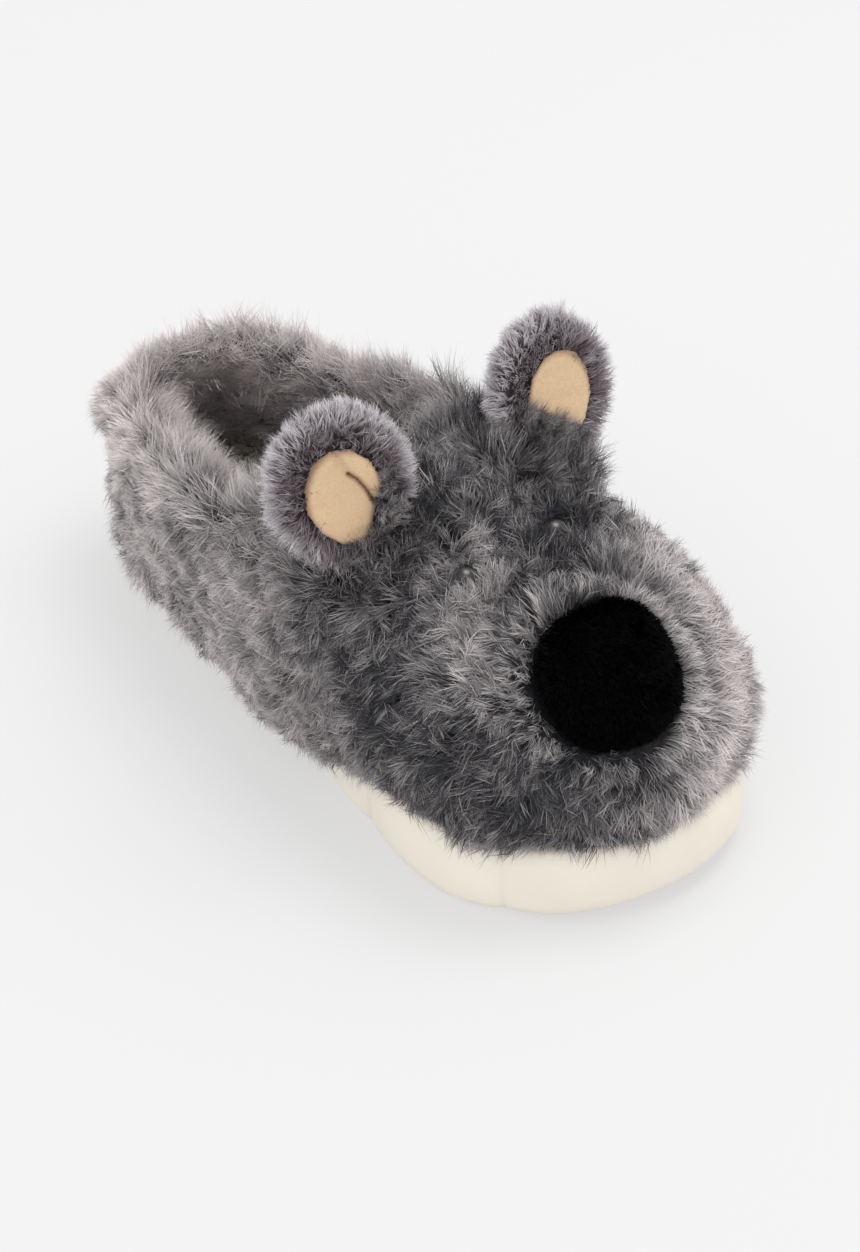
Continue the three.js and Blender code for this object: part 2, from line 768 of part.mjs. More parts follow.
// Locks round the rim and back of an ear, smaller than those of the body.
const EAR_LOCK = 0.72;
function earLocks(ear, scale) {
  const list = [];
  for (let ring = 0; ring < 2; ring += 1) {
    const count = 7 - ring * 3;
    for (let k = 0; k < count; k += 1) {
      const angle = radians(mix(-8, 188, k / (count - 1)));
      const reach = ring === 0 ? 0.92 : 0.5;
      const x = (Math.cos(angle) * reach * EAR_WIDTH) / 2;
      const z = (Math.sin(angle) * reach * EAR_HEIGHT) / 2;
      const y = ring === 0 ? 0 : -EAR_THICKNESS * 0.4;
      const marks = new THREE.BufferGeometry();
      const out = new THREE.Vector3(Math.cos(angle), -0.55 - ring * 0.8, Math.sin(angle)).normalize();
      const lie = new THREE.Vector3(Math.cos(angle) * 0.6, -0.9, Math.sin(angle) * 0.8);
      const points = [x, y, z, x + out.x, y + out.y, z + out.z, x + lie.x, y + lie.y, z + lie.z];
      marks.setAttribute("position", new THREE.Float32BufferAttribute(points, 3));
      onHead(cupped(marks), ear);
      const read = (i) => new THREE.Vector3().fromBufferAttribute(marks.attributes.position, i);
      const root = read(0);
      list.push(lock(root, read(1).sub(root).normalize(), read(2).sub(root).normalize(), scale));
    }
  }
  return list;
}

function noseForm(grow) {
  const size = 2 * grow;
  const form = pad(NOSE_WIDTH + size, NOSE_DEPTH + size, NOSE_HEIGHT + size, 0.85, 18, 9);
  form.rotateX(radians(NOSE_TILT));
  form.translate(noseSeat.x, noseSeat.y, noseSeat.z);
  return solid(form);
}

function eyeForm(side, grow) {
  const x = side * EYE_SPREAD;
  const y = EYE_Y * SOLE_LENGTH;
  const form = new THREE.SphereGeometry(EYE_SIZE / 2 + grow, 9, 6);
  form.translate(x, y, bodyTop(x, y) - EYE_SINK);
  return solid(form);
}

let upperShape = solid(plushBody()).subtract(solid(footRoom(0))).subtract(solid(collarCut()));
for (const piece of pileLocks()) upperShape = upperShape.add(piece);
upperShape = upperShape.subtract(soleBody(GAP)).subtract(noseForm(GAP));
const face = EARS.map((ear) => {
  upperShape = upperShape.subtract(earForm(ear, GAP)).subtract(eyeForm(ear.side, GAP));
  for (const piece of earLocks(ear, EAR_LOCK * 1.1)) upperShape = upperShape.subtract(piece);
  let shape = earForm(ear, 0);
  for (const piece of earLocks(ear, EAR_LOCK)) shape = shape.add(piece);
  return {
    name: ear.name,
    ear: shape.subtract(liningForm(ear, GAP)),
    lining: liningForm(ear, 0),
    eye: eyeForm(ear.side, 0),
  };
});

// Footbed inside the room, dished towards its middle.
function footbedSlab() {
  const low = SOLE_HEIGHT + GAP;
  const shape = new THREE.Shape();
  const half = BALL_WIDTH * 0.75;
  shape.moveTo(-half, low);
  shape.lineTo(half, low);
  const steps = 12;
  for (let i = 0; i <= steps; i += 1) {
    const t = 1 - (2 * i) / steps;
    shape.lineTo(t * half, low + FOOTBED + FOOTBED_DISH * 4 * t * t);
  }
  const geometry = new THREE.ExtrudeGeometry(shape, { depth: SOLE_LENGTH * 1.2, bevelEnabled: false });
  geometry.rotateX(Math.PI / 2);
  geometry.translate(0, SOLE_LENGTH * 0.6, 0);
  return solid(geometry);
}
const insoleShape = solid(footRoom(GAP)).intersect(footbedSlab()).subtract(soleBody(GAP));

const COLOURS = {
  sole: { color: "#e6e2d2", roughness: 0.75 },
  insole: { color: "#8d8a89", roughness: 1 },
  upper: { color: "#6d6b71", roughness: 1 },
  ear: { color: "#77717a", roughness: 1 },
  lining: { color: "#e0ba92", roughness: 0.95 },
  nose: { color: "#0d0c0d", roughness: 0.9 },
  eye: { color: "#17161a", roughness: 0.25 },
};

const slipper = new THREE.Group();
function addPiece(name, look, shape) {
  const material = new THREE.MeshStandardMaterial({ ...COLOURS[look], metalness: 0 });
  const mesh = new THREE.Mesh(surface(shape), material);
  mesh.name = name;
  slipper.add(mesh);
}

addPiece("sole", "sole", soleShape);
addPiece("insole", "insole", insoleShape);
addPiece("upper", "upper", upperShape);
addPiece("nose", "nose", noseForm(0));
for (const { name, ear, lining, eye } of face) {
  addPiece(`ear_${name}`, "ear", ear);
  addPiece(`ear_lining_${name}`, "lining", lining);
  addPiece(`eye_${name}`, "eye", eye);
}

// The origin lies on the floor under the middle of the whole slipper.
const box = new THREE.Box3().setFromObject(slipper);
slipper.position.set(-(box.min.x + box.max.x) / 2, -(box.min.y + box.max.y) / 2, -box.min.z);

export default slipper;
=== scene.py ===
import math

import bmesh
import bpy
import numpy as np
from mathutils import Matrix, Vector
from mathutils.bvhtree import BVHTree
from mathutils.kdtree import KDTree


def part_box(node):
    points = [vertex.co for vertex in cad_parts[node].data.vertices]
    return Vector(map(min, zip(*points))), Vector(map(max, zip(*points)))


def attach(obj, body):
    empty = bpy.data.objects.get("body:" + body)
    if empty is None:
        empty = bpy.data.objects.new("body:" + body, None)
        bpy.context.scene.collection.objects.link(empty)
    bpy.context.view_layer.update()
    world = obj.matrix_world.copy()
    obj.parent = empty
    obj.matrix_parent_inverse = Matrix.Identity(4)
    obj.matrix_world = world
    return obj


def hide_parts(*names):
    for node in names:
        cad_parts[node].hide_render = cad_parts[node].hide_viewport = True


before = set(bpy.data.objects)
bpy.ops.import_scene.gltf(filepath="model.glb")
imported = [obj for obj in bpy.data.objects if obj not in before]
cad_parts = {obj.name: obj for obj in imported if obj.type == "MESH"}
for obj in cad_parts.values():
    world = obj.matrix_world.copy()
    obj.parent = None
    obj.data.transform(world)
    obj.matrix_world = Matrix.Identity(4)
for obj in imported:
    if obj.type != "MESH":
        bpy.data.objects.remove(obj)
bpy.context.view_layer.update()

# Lengths below are in the shoe's own millimetres: +Y to the toe, +X to the outer side, the floor at zero.
MM = 0.001
EYE_PLACE_Y = 61.9
BALL_WIDTH = 114.0
HEEL_WIDTH = 76.0
SOLE_LENGTH = 267.0
SOLE_HEIGHT = 28.0
SOLE_EDGE = 4.0
LOBE_DEPTH = 2.6
TOE_SPRING = 6.0
TOE_LIP = 3.0
ARCH_LIFT = 3.5
TREAD_DEPTH = 2.5
TREAD_GROOVE = 4.0
TREAD_PITCH = 15.0
TREAD_MARGIN = 11.0
TREAD_ZONES = [(-0.4, -0.25), (0.14, 0.34)]
NOSE_TILT = 43.0
EAR_WIDTH = 46.0
EAR_HEIGHT = 54.0
EAR_THICKNESS = 15.0
EAR_CUP = 5.0
EAR_SKIN = 4.0
NOSE_MIDDLE = (0.0, 107.0, 74.0)
FLOOR_SIDE = 6.0

# Pile: hairs per square mm, and lengths in mm.
BODY_DENSITY = 4.6
EAR_DENSITY = 4.0
NOSE_DENSITY = 5.4
FOOTBED_DENSITY = 2.8
BODY_LENGTH = 11.0
INNER_EXTRA = 3.0
COLLAR_EXTRA = 6.0
HEM_EXTRA = 3.0
EAR_FOOT_EXTRA = 5.0
MUZZLE_EXTRA = 5.0
EAR_LENGTH = 7.2
NOSE_LENGTH = 3.0
FOOTBED_LENGTH = 5.5
EDGE_EXTRA = 5.0

# Hair meshes of the body, each with where it starts and ends from heel to toe.
BODY_PARTS = [
    ("heel", -200, -84),
    ("quarters", -84, -28),
    ("instep", -28, 26),
    ("head", 26, 72),
    ("muzzle", 72, 200),
]

# The shoe's own origin in the frame, found from the two eyes, which stand evenly on both sides.
EYES = [(Vector(low) + Vector(high)) / 2 for low, high in (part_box("eye_left"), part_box("eye_right"))]
ORIGIN = np.array([(EYES[0].x + EYES[1].x) / 2, EYES[0].y - EYE_PLACE_Y * MM, 0.0])


def to_frame(points):
    return np.asarray(points, float) * MM + ORIGIN


def to_shoe(points):
    return (np.asarray(points, float) - ORIGIN) / MM


def smoothstep(low, high, value):
    t = np.clip((np.asarray(value, float) - low) / (high - low), 0.0, 1.0)
    return t * t * (3.0 - 2.0 * t)


def unit(vectors):
    return vectors / np.maximum(np.linalg.norm(vectors, axis=-1, keepdims=True), 1e-9)


def waves(points, size, seed, count=9):
    """Smooth noise between about -1 and 1, with bumps of the given size in mm."""
    rng = np.random.default_rng(seed)
    way = unit(rng.normal(size=(count, 3))) * (2 * math.pi / size) * rng.uniform(0.6, 1.4, (count, 1))
    phase = rng.uniform(0, 2 * math.pi, count)
    return np.sin(points @ way.T + phase).sum(axis=1) * math.sqrt(2.0 / count) * 0.7


# Camera: the photograph's place, turned to the one shoe and brought closer by the lens.
IMAGE = (860, 1252)
PHOTO_FOCUS = 2046.0
CAMERA_PLACE = (470.0, 641.1, 677.4)
PHOTO_LOOK = (-0.545, -0.618, -0.566)
SHOE_MIDDLE = (310.5, 806.0)
CLOSER = 1.5
SENSOR = 36.0


def make_camera():
    look = Vector(PHOTO_LOOK).normalized()
    photo_turn = look.to_track_quat("-Z", "Y")
    across = (SHOE_MIDDLE[0] - IMAGE[0] / 2) / PHOTO_FOCUS
    down = (SHOE_MIDDLE[1] - IMAGE[1] / 2) / PHOTO_FOCUS
    aim = photo_turn @ Vector((across, -down, -1.0)).normalized()
    data = bpy.data.cameras.new("camera")
    data.sensor_fit = "VERTICAL"
    data.sensor_height = SENSOR
    data.lens = SENSOR * PHOTO_FOCUS * CLOSER / IMAGE[1]
    data.clip_start = 0.05
    data.clip_end = 20.0
    camera = bpy.data.objects.new("camera", data)
    camera.location = Vector(to_frame(CAMERA_PLACE))
    camera.rotation_mode = "QUATERNION"
    camera.rotation_quaternion = look.rotation_difference(aim) @ photo_turn
    bpy.context.collection.objects.link(camera)
    bpy.context.scene.camera = camera


def area_light(name, place, size, power, colour=(1.0, 1.0, 1.0)):
    data = bpy.data.lights.new(name, "AREA")
    data.shape = "DISK"
    data.size = size
    data.energy = power
    data.color = colour
    light = bpy.data.objects.new(name, data)
    light.location = place
    light.rotation_euler = (Vector((0.0, 0.0, 0.05)) - Vector(place)).to_track_quat("-Z", "Y").to_euler()
    bpy.context.collection.objects.link(light)


def make_studio():
    scene = bpy.context.scene
    scene.view_settings.view_transform = "Standard"
    world = bpy.data.worlds.new("studio")
    world.use_nodes = True
    sky = world.node_tree.nodes["Background"]
    sky.inputs["Color"].default_value = (1.0, 1.0, 1.0, 1.0)
    sky.inputs["Strength"].default_value = 1.1
    scene.world = world
    area_light("key", (-0.4, 0.1, 1.5), 0.9, 12.0)
    area_light("fill", (1.1, 0.5, 1.2), 1.2, 3.0)
    mesh = bpy.data.meshes.new("floor")
    corners = [(x * FLOOR_SIDE, y * FLOOR_SIDE, 0) for x, y in ((-1, -1), (1, -1), (1, 1), (-1, 1))]
    mesh.from_pydata(corners, [], [(0, 1, 2, 3)])
    floor = bpy.data.objects.new("floor", mesh)
    bpy.context.collection.objects.link(floor)
    mesh.materials.append(floor_material())


# MATERIALS


class Nodes:
    """A material's tree, with short ways to add and link its nodes."""

    def __init__(self, name):
        self.material = bpy.data.materials.new(name)
        self.material.use_nodes = True
        self.tree = self.material.node_tree
        self.shader = self.tree.nodes["Principled BSDF"]
        self.output = self.tree.nodes["Material Output"]

    def add(self, kind, **settings):
        node = self.tree.nodes.new(kind)
        for key, value in settings.items():
            if key in node.inputs:
                node.inputs[key].default_value = value
            else:
                setattr(node, key, value)
        return node

    def link(self, a, b):
        self.tree.links.new(a, b)

    def attribute(self, name):
        return self.add("ShaderNodeAttribute", attribute_name=name).outputs["Fac"]

    def ramp(self, factor, stops):
        node = self.add("ShaderNodeValToRGB")
        ramp = node.color_ramp
        while len(ramp.elements) < len(stops):
            ramp.elements.new(0.5)
        for element, (place, colour) in zip(ramp.elements, stops):
            element.position = place
            element.color = (*colour, 1.0)
        self.link(factor, node.inputs["Fac"])
        return node.outputs["Color"]

    def mix(self, factor, a, b):
        node = self.add("ShaderNodeMix", data_type="RGBA")
        self.link(factor, node.inputs["Factor"])
        for socket, value in ((node.inputs[6], a), (node.inputs[7], b)):
            if isinstance(value, tuple):
                socket.default_value = (*value, 1.0)
            else:
                self.link(value, socket)
        return node.outputs[2]

    def noise(self, scale, detail=3.0, roughness=0.55):
        place = self.add("ShaderNodeTexCoord").outputs["Object"]
        node = self.add("ShaderNodeTexNoise", Scale=scale, Detail=detail, Roughness=roughness)
        self.link(place, node.inputs["Vector"])
        return node.outputs["Fac"]

    def bump(self, height, strength, distance):
        node = self.add("ShaderNodeBump", Strength=strength, Distance=distance)
        self.link(height, node.inputs["Height"])
        self.link(node.outputs["Normal"], self.shader.inputs["Normal"])
        return node


def srgb(*values):
    """Colour from sRGB numbers between 0 and 255."""
    return tuple(((v / 255 + 0.055) / 1.055) ** 2.4 if v > 10 else v / 255 / 12.92 for v in values)


def floor_material():
    n = Nodes("pale_floor")
    n.shader.inputs["Base Color"].default_value = (0.26, 0.26, 0.26, 1.0)
    n.shader.inputs["Emission Color"].default_value = (1.0, 1.0, 1.0, 1.0)
    n.shader.inputs["Emission Strength"].default_value = 0.5
    n.shader.inputs["Roughness"].default_value = 1.0
    n.shader.inputs["Specular IOR Level"].default_value = 0.0
    return n.material


def pile_material(name, root, dark, light, see_through=0.35, shine=0.3):
    """Hair colour from the attributes along (root to tip) and tone (dark to light)."""
    n = Nodes(name)
    along = n.attribute("along")
    tone = n.attribute("tone")
    tip = n.ramp(tone, [(0.0, dark), (1.0, light)])
    colour = n.mix(n.ramp(along, [(0.05, (0, 0, 0)), (0.85, (1, 1, 1))]), root, tip)
    n.link(colour, n.shader.inputs["Base Color"])
    n.shader.inputs["Roughness"].default_value = 0.62
    n.shader.inputs["Specular IOR Level"].default_value = shine
    if see_through > 0:
        glow = n.add("ShaderNodeBsdfTranslucent")
        n.link(colour, glow.inputs["Color"])
        both = n.add("ShaderNodeMixShader", Fac=see_through)
        n.link(n.shader.outputs["BSDF"], both.inputs[1])
        n.link(glow.outputs["BSDF"], both.inputs[2])
        n.link(both.outputs["Shader"], n.output.inputs["Surface"])
    return n.material


def backing_material(name, dark, light, scale=420.0, lining=None):
    """The matted cloth under the pile, in the lining's colours where the attribute inside is 1."""
    n = Nodes(name)
    fine = n.noise(scale, 4.0, 0.7)
    broad = n.noise(scale / 9, 2.0)
    mottled = n.mix(broad, n.ramp(fine, [(0.3, dark), (0.75, light)]), dark)
    if lining:
        mottled = n.mix(n.attribute("inside"), mottled, n.ramp(fine, [(0.3, lining[0]), (0.75, lining[1])]))
    n.link(mottled, n.shader.inputs["Base Color"])
    n.shader.inputs["Roughness"].default_value = 0.95
    n.shader.inputs["Specular IOR Level"].default_value = 0.1
    n.bump(fine, 0.8, 0.002)
    return n.material


def velour_material():
    n = Nodes("tan_velour")
    nap = n.noise(900.0, 4.0, 0.75)
    brushed = n.noise(55.0, 3.0)
    colour = n.mix(brushed, n.ramp(nap, [(0.3, srgb(192, 162, 128)), (0.7, srgb(216, 190, 154))]),
                   srgb(203, 175, 141))
    # Painted shade: the velour turns dark brown by the lining's edge, under the head's pile and along its
    # fold, where shadow falls.
    colour = n.mix(n.attribute("painted_shade"), colour, srgb(92, 58, 34))
    n.link(colour, n.shader.inputs["Base Color"])
    n.shader.inputs["Roughness"].default_value = 0.9
    n.shader.inputs["Sheen Weight"].default_value = 0.35
    n.shader.inputs["Sheen Roughness"].default_value = 0.4
    n.shader.inputs["Specular IOR Level"].default_value = 0.15
    n.bump(nap, 0.35, 0.0006)
    return n.material


def foam_material():
    n = Nodes("cream_foam")
    cells = n.noise(1400.0, 3.0, 0.6)
    patches = n.noise(24.0, 3.0)
    colour = n.ramp(patches, [(0.25, srgb(226, 218, 204)), (0.75, srgb(235, 228, 215))])
    n.link(colour, n.shader.inputs["Base Color"])
    n.shader.inputs["Roughness"].default_value = 0.55
    n.shader.inputs["Specular IOR Level"].default_value = 0.35
    n.shader.inputs["Subsurface Weight"].default_value = 0.12
    n.shader.inputs["Subsurface Radius"].default_value = (0.004, 0.003, 0.002)
    n.bump(cells, 0.12, 0.0004)
    return n.material


def bead_material():
    n = Nodes("dark_bead")
    swirl = n.noise(160.0, 2.0)
    n.link(n.ramp(swirl, [(0.3, srgb(14, 12, 12)), (0.8, srgb(34, 27, 24))]), n.shader.inputs["Base Color"])
    n.shader.inputs["Roughness"].default_value = 0.3
    n.shader.inputs["Coat Weight"].default_value = 0.3
    n.shader.inputs["Coat Roughness"].default_value = 0.05
    return n.material


# MESHES


def make_object(name, points, faces, material, smooth=True):
    mesh = bpy.data.meshes.new(name)
    mesh.from_pydata([tuple(p) for p in points], [], [tuple(f) for f in faces])
    mesh.update()
    mesh.materials.append(material)
    mesh.polygons.foreach_set("use_smooth", [smooth] * len(mesh.polygons))
    made = bpy.data.objects.new(name, mesh)
    bpy.context.collection.objects.link(made)
    return made


def turn_outward(mesh):
    form = bmesh.new()
    form.from_mesh(mesh)
    bmesh.ops.recalc_face_normals(form, faces=form.faces)
    form.to_mesh(mesh)
    form.free()


def settle(piece, slot, *nodes):
    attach(piece, "root")
    if nodes:
        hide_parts(*nodes)
    return piece


def arrays(mesh):
    """Points, their normals and the triangles of a mesh."""
    points = np.empty(len(mesh.vertices) * 3)
    mesh.vertices.foreach_get("co", points)
    normals = np.empty(len(mesh.vertices) * 3)
    mesh.vertices.foreach_get("normal", normals)
    mesh.calc_loop_triangles()
    faces = np.empty(len(mesh.loop_triangles) * 3, int)
    mesh.loop_triangles.foreach_get("vertices", faces)
    return points.reshape(-1, 3), normals.reshape(-1, 3), faces.reshape(-1, 3)


def soft_copy(node, name, voxel, rounds, material):
    """A finer copy of a CAD solid with its facets smoothed away. Voxel in mm."""
    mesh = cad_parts[node].data.copy()
    piece = bpy.data.objects.new(name, mesh)
    bpy.context.collection.objects.link(piece)
    remesh = piece.modifiers.new("remesh", "REMESH")
    remesh.mode = "VOXEL"
    remesh.voxel_size = voxel * MM
    smooth = piece.modifiers.new("smooth", "SMOOTH")
    smooth.factor = 0.5
    smooth.iterations = rounds
    baked = bpy.data.meshes.new_from_object(piece.evaluated_get(bpy.context.evaluated_depsgraph_get()))
    piece.modifiers.clear()
    piece.data = baked
    baked.materials.clear()
    baked.materials.append(material)
    baked.polygons.foreach_set("use_smooth", [True] * len(baked.polygons))
    return piece


def surface_tree(node):
    points, _, faces = arrays(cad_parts[node].data)
    return BVHTree.FromPolygons(to_shoe(points).tolist(), faces.tolist())


def distance_to(trees, points, reach=40.0):
    """Distance of each point from the nearest of some surfaces, at most reach."""
    least = np.full(len(points), reach)
    for tree in trees:
        found = [tree.find_nearest(Vector(p), reach)[3] for p in points]
        least = np.minimum(least, [reach if d is None else d for d in found])
    return least


def path_distance(points, path):
    """Distance of each point from a line through the path's places."""
    least = np.full(len(points), 1e9)
    path = np.asarray(path, float)
    for a, b in zip(path[:-1], path[1:]):
        t = np.clip(((points - a) @ (b - a)) / ((b - a) @ (b - a)), 0.0, 1.0)
        least = np.minimum(least, np.linalg.norm(points - (a + t[:, None] * (b - a)), axis=1))
    return least


# PILE


def scattered(points, faces, density, weight, seed):
    """Random places on a mesh: (triangle, its three shares). Density in hairs per square mm at weight 1."""
    rng = np.random.default_rng(seed)
    a, b, c = (points[faces[:, k]] for k in range(3))
    area = np.linalg.norm(np.cross(b - a, c - a), axis=1) / 2
    wanted = area * density * weight[faces].mean(axis=1)
    ends = np.cumsum(wanted)
    count = int(ends[-1])
    face = np.searchsorted(ends, rng.uniform(0, ends[-1], count))
    u, v = rng.random(count), rng.random(count)
    over = u + v > 1
    u[over], v[over] = 1 - u[over], 1 - v[over]
    return faces[face], np.stack([1 - u - v, u, v], axis=1)


def gather(values, corner, share):
    """A per-point value carried to scattered places."""
    picked = values[corner]
    return (picked * (share[..., None] if picked.ndim == 3 else share)).sum(axis=1)


def clumps_of(roots, spacing, seed):
    """For each root, the index of the root that leads its clump."""
    order = np.random.default_rng(seed).permutation(len(roots))
    cell = np.floor(roots[order] / spacing).astype(int)
    leaders = order[np.unique(cell, axis=0, return_index=True)[1]]
    tree = KDTree(len(leaders))
    for i, leader in enumerate(leaders):
        tree.insert(Vector(roots[leader]), i)
    tree.balance()
    nearest = np.array([tree.find(Vector(p))[1] for p in roots])
    return leaders[nearest]


def grow(name, root, normal, lie, length, tone, material, seed, width=0.28, lift=(46.0, 78.0),
         mess=0.35, clump=1.6, pull=0.5, stray=0.14):
    """Hairs as bent ribbons that gather in wisps.

    lift: lean from the normal at the root and the tip, in degrees. mess: how far a wisp turns off its lie,
    in radians. clump: spacing of the wisps in mm. pull: how far a hair's tip moves to the tip of its wisp.
    """
    rng = np.random.default_rng(seed)
    count = len(root)
    lead = clumps_of(root, clump, seed + 5)
    tuft = clumps_of(root, 3.4 * clump, seed + 6)
    lie = unit(lie - (lie * normal).sum(1, keepdims=True) * normal)
    side = np.cross(normal, lie)
    turn = waves(root, 20.0, seed + 1) * 0.35
    turn += mess * (0.7 * rng.standard_normal(count)[lead] + 0.8 * rng.standard_normal(count)[tuft])
    turn += rng.normal(0, stray, count)
    lie = lie * np.cos(turn)[:, None] + side * np.sin(turn)[:, None]
    side = np.cross(normal, lie)
    lean = rng.normal(0, 7.0, count)[tuft] + rng.normal(0, 5.0, count)[lead] + rng.normal(0, 5.0, count)
    first, second = (np.radians(np.clip(angle + lean, 0.0, 98.0))[:, None] for angle in lift)
    length = length * (1 + 0.07 * rng.standard_normal(count)[lead] + rng.normal(0, 0.09, count))
    half = length[:, None] * 0.5
    bend = rng.normal(0, 0.45, count)[lead] + rng.normal(0, 0.3, count)
    bent = lie * np.cos(bend)[:, None] + side * np.sin(bend)[:, None]
    way_1 = unit(normal * np.cos(first) + lie * np.sin(first) + rng.normal(0, stray * 0.5, (count, 3)))
    way_2 = unit(normal * np.cos(second) + bent * np.sin(second) + rng.normal(0, stray * 0.7, (count, 3)))
    middle = root + way_1 * half
    tip = middle + way_2 * half
    hold = pull * rng.uniform(0.3, 1.0, (count, 1))
    tip = tip + (tip[lead] - tip) * hold
    middle = middle + (middle[lead] - middle) * hold * 0.45
    across = np.cross(tip - root, normal)
    across = unit(across + np.cross(unit(tip - root), unit(across)) * rng.normal(0, 0.6, (count, 1)))
    pale = rng.random(count) < 0.08
    wide = width * np.where(pale, 1.5, rng.uniform(0.7, 1.3, count))[:, None] / 2
    points = np.stack([
        root - normal * 0.6 - across * wide,
        root - normal * 0.6 + across * wide,
        middle - across * wide * 0.9,
        middle + across * wide * 0.9,
        tip,
    ], axis=1)
    start = np.arange(count)[:, None] * 5
    faces = np.concatenate([start + [0, 1, 3], start + [0, 3, 2], start + [2, 3, 4]], axis=1).reshape(-1, 3)
    mesh = bpy.data.meshes.new(name)
    mesh.vertices.add(count * 5)
    mesh.vertices.foreach_set("co", to_frame(points.reshape(-1, 3)).ravel())
    mesh.loops.add(len(faces) * 3)
    mesh.loops.foreach_set("vertex_index", faces.ravel())
    mesh.polygons.add(len(faces))
    mesh.polygons.foreach_set("loop_start", np.arange(len(faces)) * 3)
    mesh.update(calc_edges=True)
    own = tone + 0.11 * rng.standard_normal(count)[tuft] + 0.16 * rng.standard_normal(count)[lead]
    own += rng.normal(0, 0.12, count)
    own += np.where(pale, 0.26, 0.0)
    along = np.tile([0.0, 0.0, 0.5, 0.5, 1.0], count)
    for label, values in (("along", along), ("tone", np.repeat(np.clip(own, 0, 1), 5))):
        mesh.attributes.new(label, "FLOAT", "POINT").data.foreach_set("value", values)
    mesh.materials.append(material)
    mesh.polygons.foreach_set("use_smooth", [True] * len(faces))
    made = bpy.data.objects.new(name, mesh)
    bpy.context.collection.objects.link(made)
    return made


# UPPER

# Soft creases: places along each, how deep and how wide in mm.
CREASES = [
    ([(56, 42, 100), (60, 50, 87), (60, 37, 60), (58, 27, 33)], 4.5, 7.0),
    ([(-50, 45, 95), (-54, 51, 81), (-56, 51, 57), (-54, 49, 24)], 4.5, 7.0),
    ([(-45, 54, 62), (-42, 53, 78), (-34, 57, 78), (-24, 66, 82), (-6, 73, 82), (14, 72, 84)], 3.5, 6.0),
    ([(2, 126, 62), (2, 136, 50), (2, 139, 40)], 2.0, 6.0),
]

# Lighter and darker places of the pile: place, reach in mm, change of tone.
PATCHES = [
    ((5, 40, 106), 38, -0.31),
    ((20, 58, 94), 18, -0.11),
    ((-29, 68, 88), 17, -0.34),
    ((-15, 128, 53), 12, 0.14),
    ((-43, 102, 68), 14, -0.08),
    ((9, -119, 61), 22, -0.04),
    ((50, 78, 75), 13, -0.10),
    ((0, -5, 106), 30, -0.20),
    ((-36, 0, 98), 26, -0.12),
    ((54, 64, 74), 22, -0.46),
    ((58, 86, 55), 26, -0.36),
    ((25, 78, 86), 15, 0.34),
    ((-44, 108, 60), 30, 0.36),
    ((-24, 133, 49), 20, 0.28),
    ((-48, 82, 74), 18, 0.12),
    ((-8, 76, 87), 18, -0.36),
    ((15, 131, 50), 22, -0.34),
    ((42, 118, 42), 22, -0.40),
    ((38, 104, 66), 16, -0.10),
    ((56, -30, 74), 16, -0.20),
    ((60, 4, 60), 28, 0.18),
    ((58, -20, 30), 34, 0.26),
    ((42, -84, 60), 38, 0.50),
    ((-7, -124, 72), 34, 0.46),
    ((-38, -90, 66), 30, 0.22),
    ((-50, -20, 60), 34, -0.06),
]

# How the pile is brushed: place and way.
STROKES = [
    ((43, -72, 71), (0.0, -1.0, 0.0)),
    ((46, -90, 50), (-0.1, -0.9, -0.4)),
    ((4, -126, 50), (0.0, -0.3, -0.9)),
    ((-40, -85, 50), (0.1, -0.9, -0.4)),
    ((57, -40, 60), (0.1, -0.9, -0.4)),
    ((55, 0, 83), (0.2, -0.9, -0.3)),
    ((60, 10, 50), (0.1, -0.8, -0.6)),
    ((60, 40, 43), (0.0, -0.7, -0.7)),
    ((51, 50, 87), (0.6, 0.2, -0.7)),
    ((54, 69, 71), (0.4, -0.6, -0.7)),
    ((58, 86, 50), (0.1, -0.5, -0.9)),
    ((48, 115, 46), (0.3, -0.2, -0.9)),
    ((32, 126, 46), (0.6, -0.4, -0.6)),
    ((18, 132, 52), (-0.1, 0.3, -1.0)),
    ((0, 138, 40), (-0.1, 0.3, -1.0)),
    ((-23, 131, 50), (-0.6, -0.3, -0.7)),
    ((-36, 118, 58), (-0.8, -0.3, -0.5)),
    ((-50, 100, 64), (-0.8, -0.5, -0.4)),
    ((-30, 85, 83), (-0.5, -0.8, -0.2)),
    ((-4, 76, 87), (-0.1, -1.0, -0.1)),
    ((22, 75, 87), (-0.1, -1.0, 0.3)),
    ((32, 97, 75), (0.4, -0.8, 0.3)),
    ((6, 45, 107), (-0.1, -1.0, 0.0)),
    ((0, 0, 106), (0.0, -1.0, 0.1)),
    ((-50, 30, 70), (-0.3, -0.8, -0.5)),
    ((-57, -30, 60), (-0.1, -0.9, -0.4)),
    ((-55, 70, 55), (-0.3, -0.5, -0.8)),
]


def brushed(points):
    way = np.zeros_like(points)
    for place, stroke in STROKES:
        near = np.exp(-((np.linalg.norm(points - np.array(place), axis=1) / 20.0) ** 2)) + 1e-6
        way += near[:, None] * np.array(stroke)
    return unit(way)


def section_middle(points):
    """The point on the shoe's middle line that a place on the upper faces away from."""
    middle = np.zeros_like(points)
    middle[:, 0] = 4.0
    middle[:, 1] = np.clip(points[:, 1], -82.0, 92.0)
    middle[:, 2] = 46.0
    return middle


def tone_at(points):
    tone = 0.52 + 0.07 * waves(points, 24.0, 11) + 0.07 * waves(points, 9.0, 12)
    for place, reach, change in PATCHES:
        tone += change * np.exp(-((np.linalg.norm(points - np.array(place), axis=1) / reach) ** 2))
    return tone


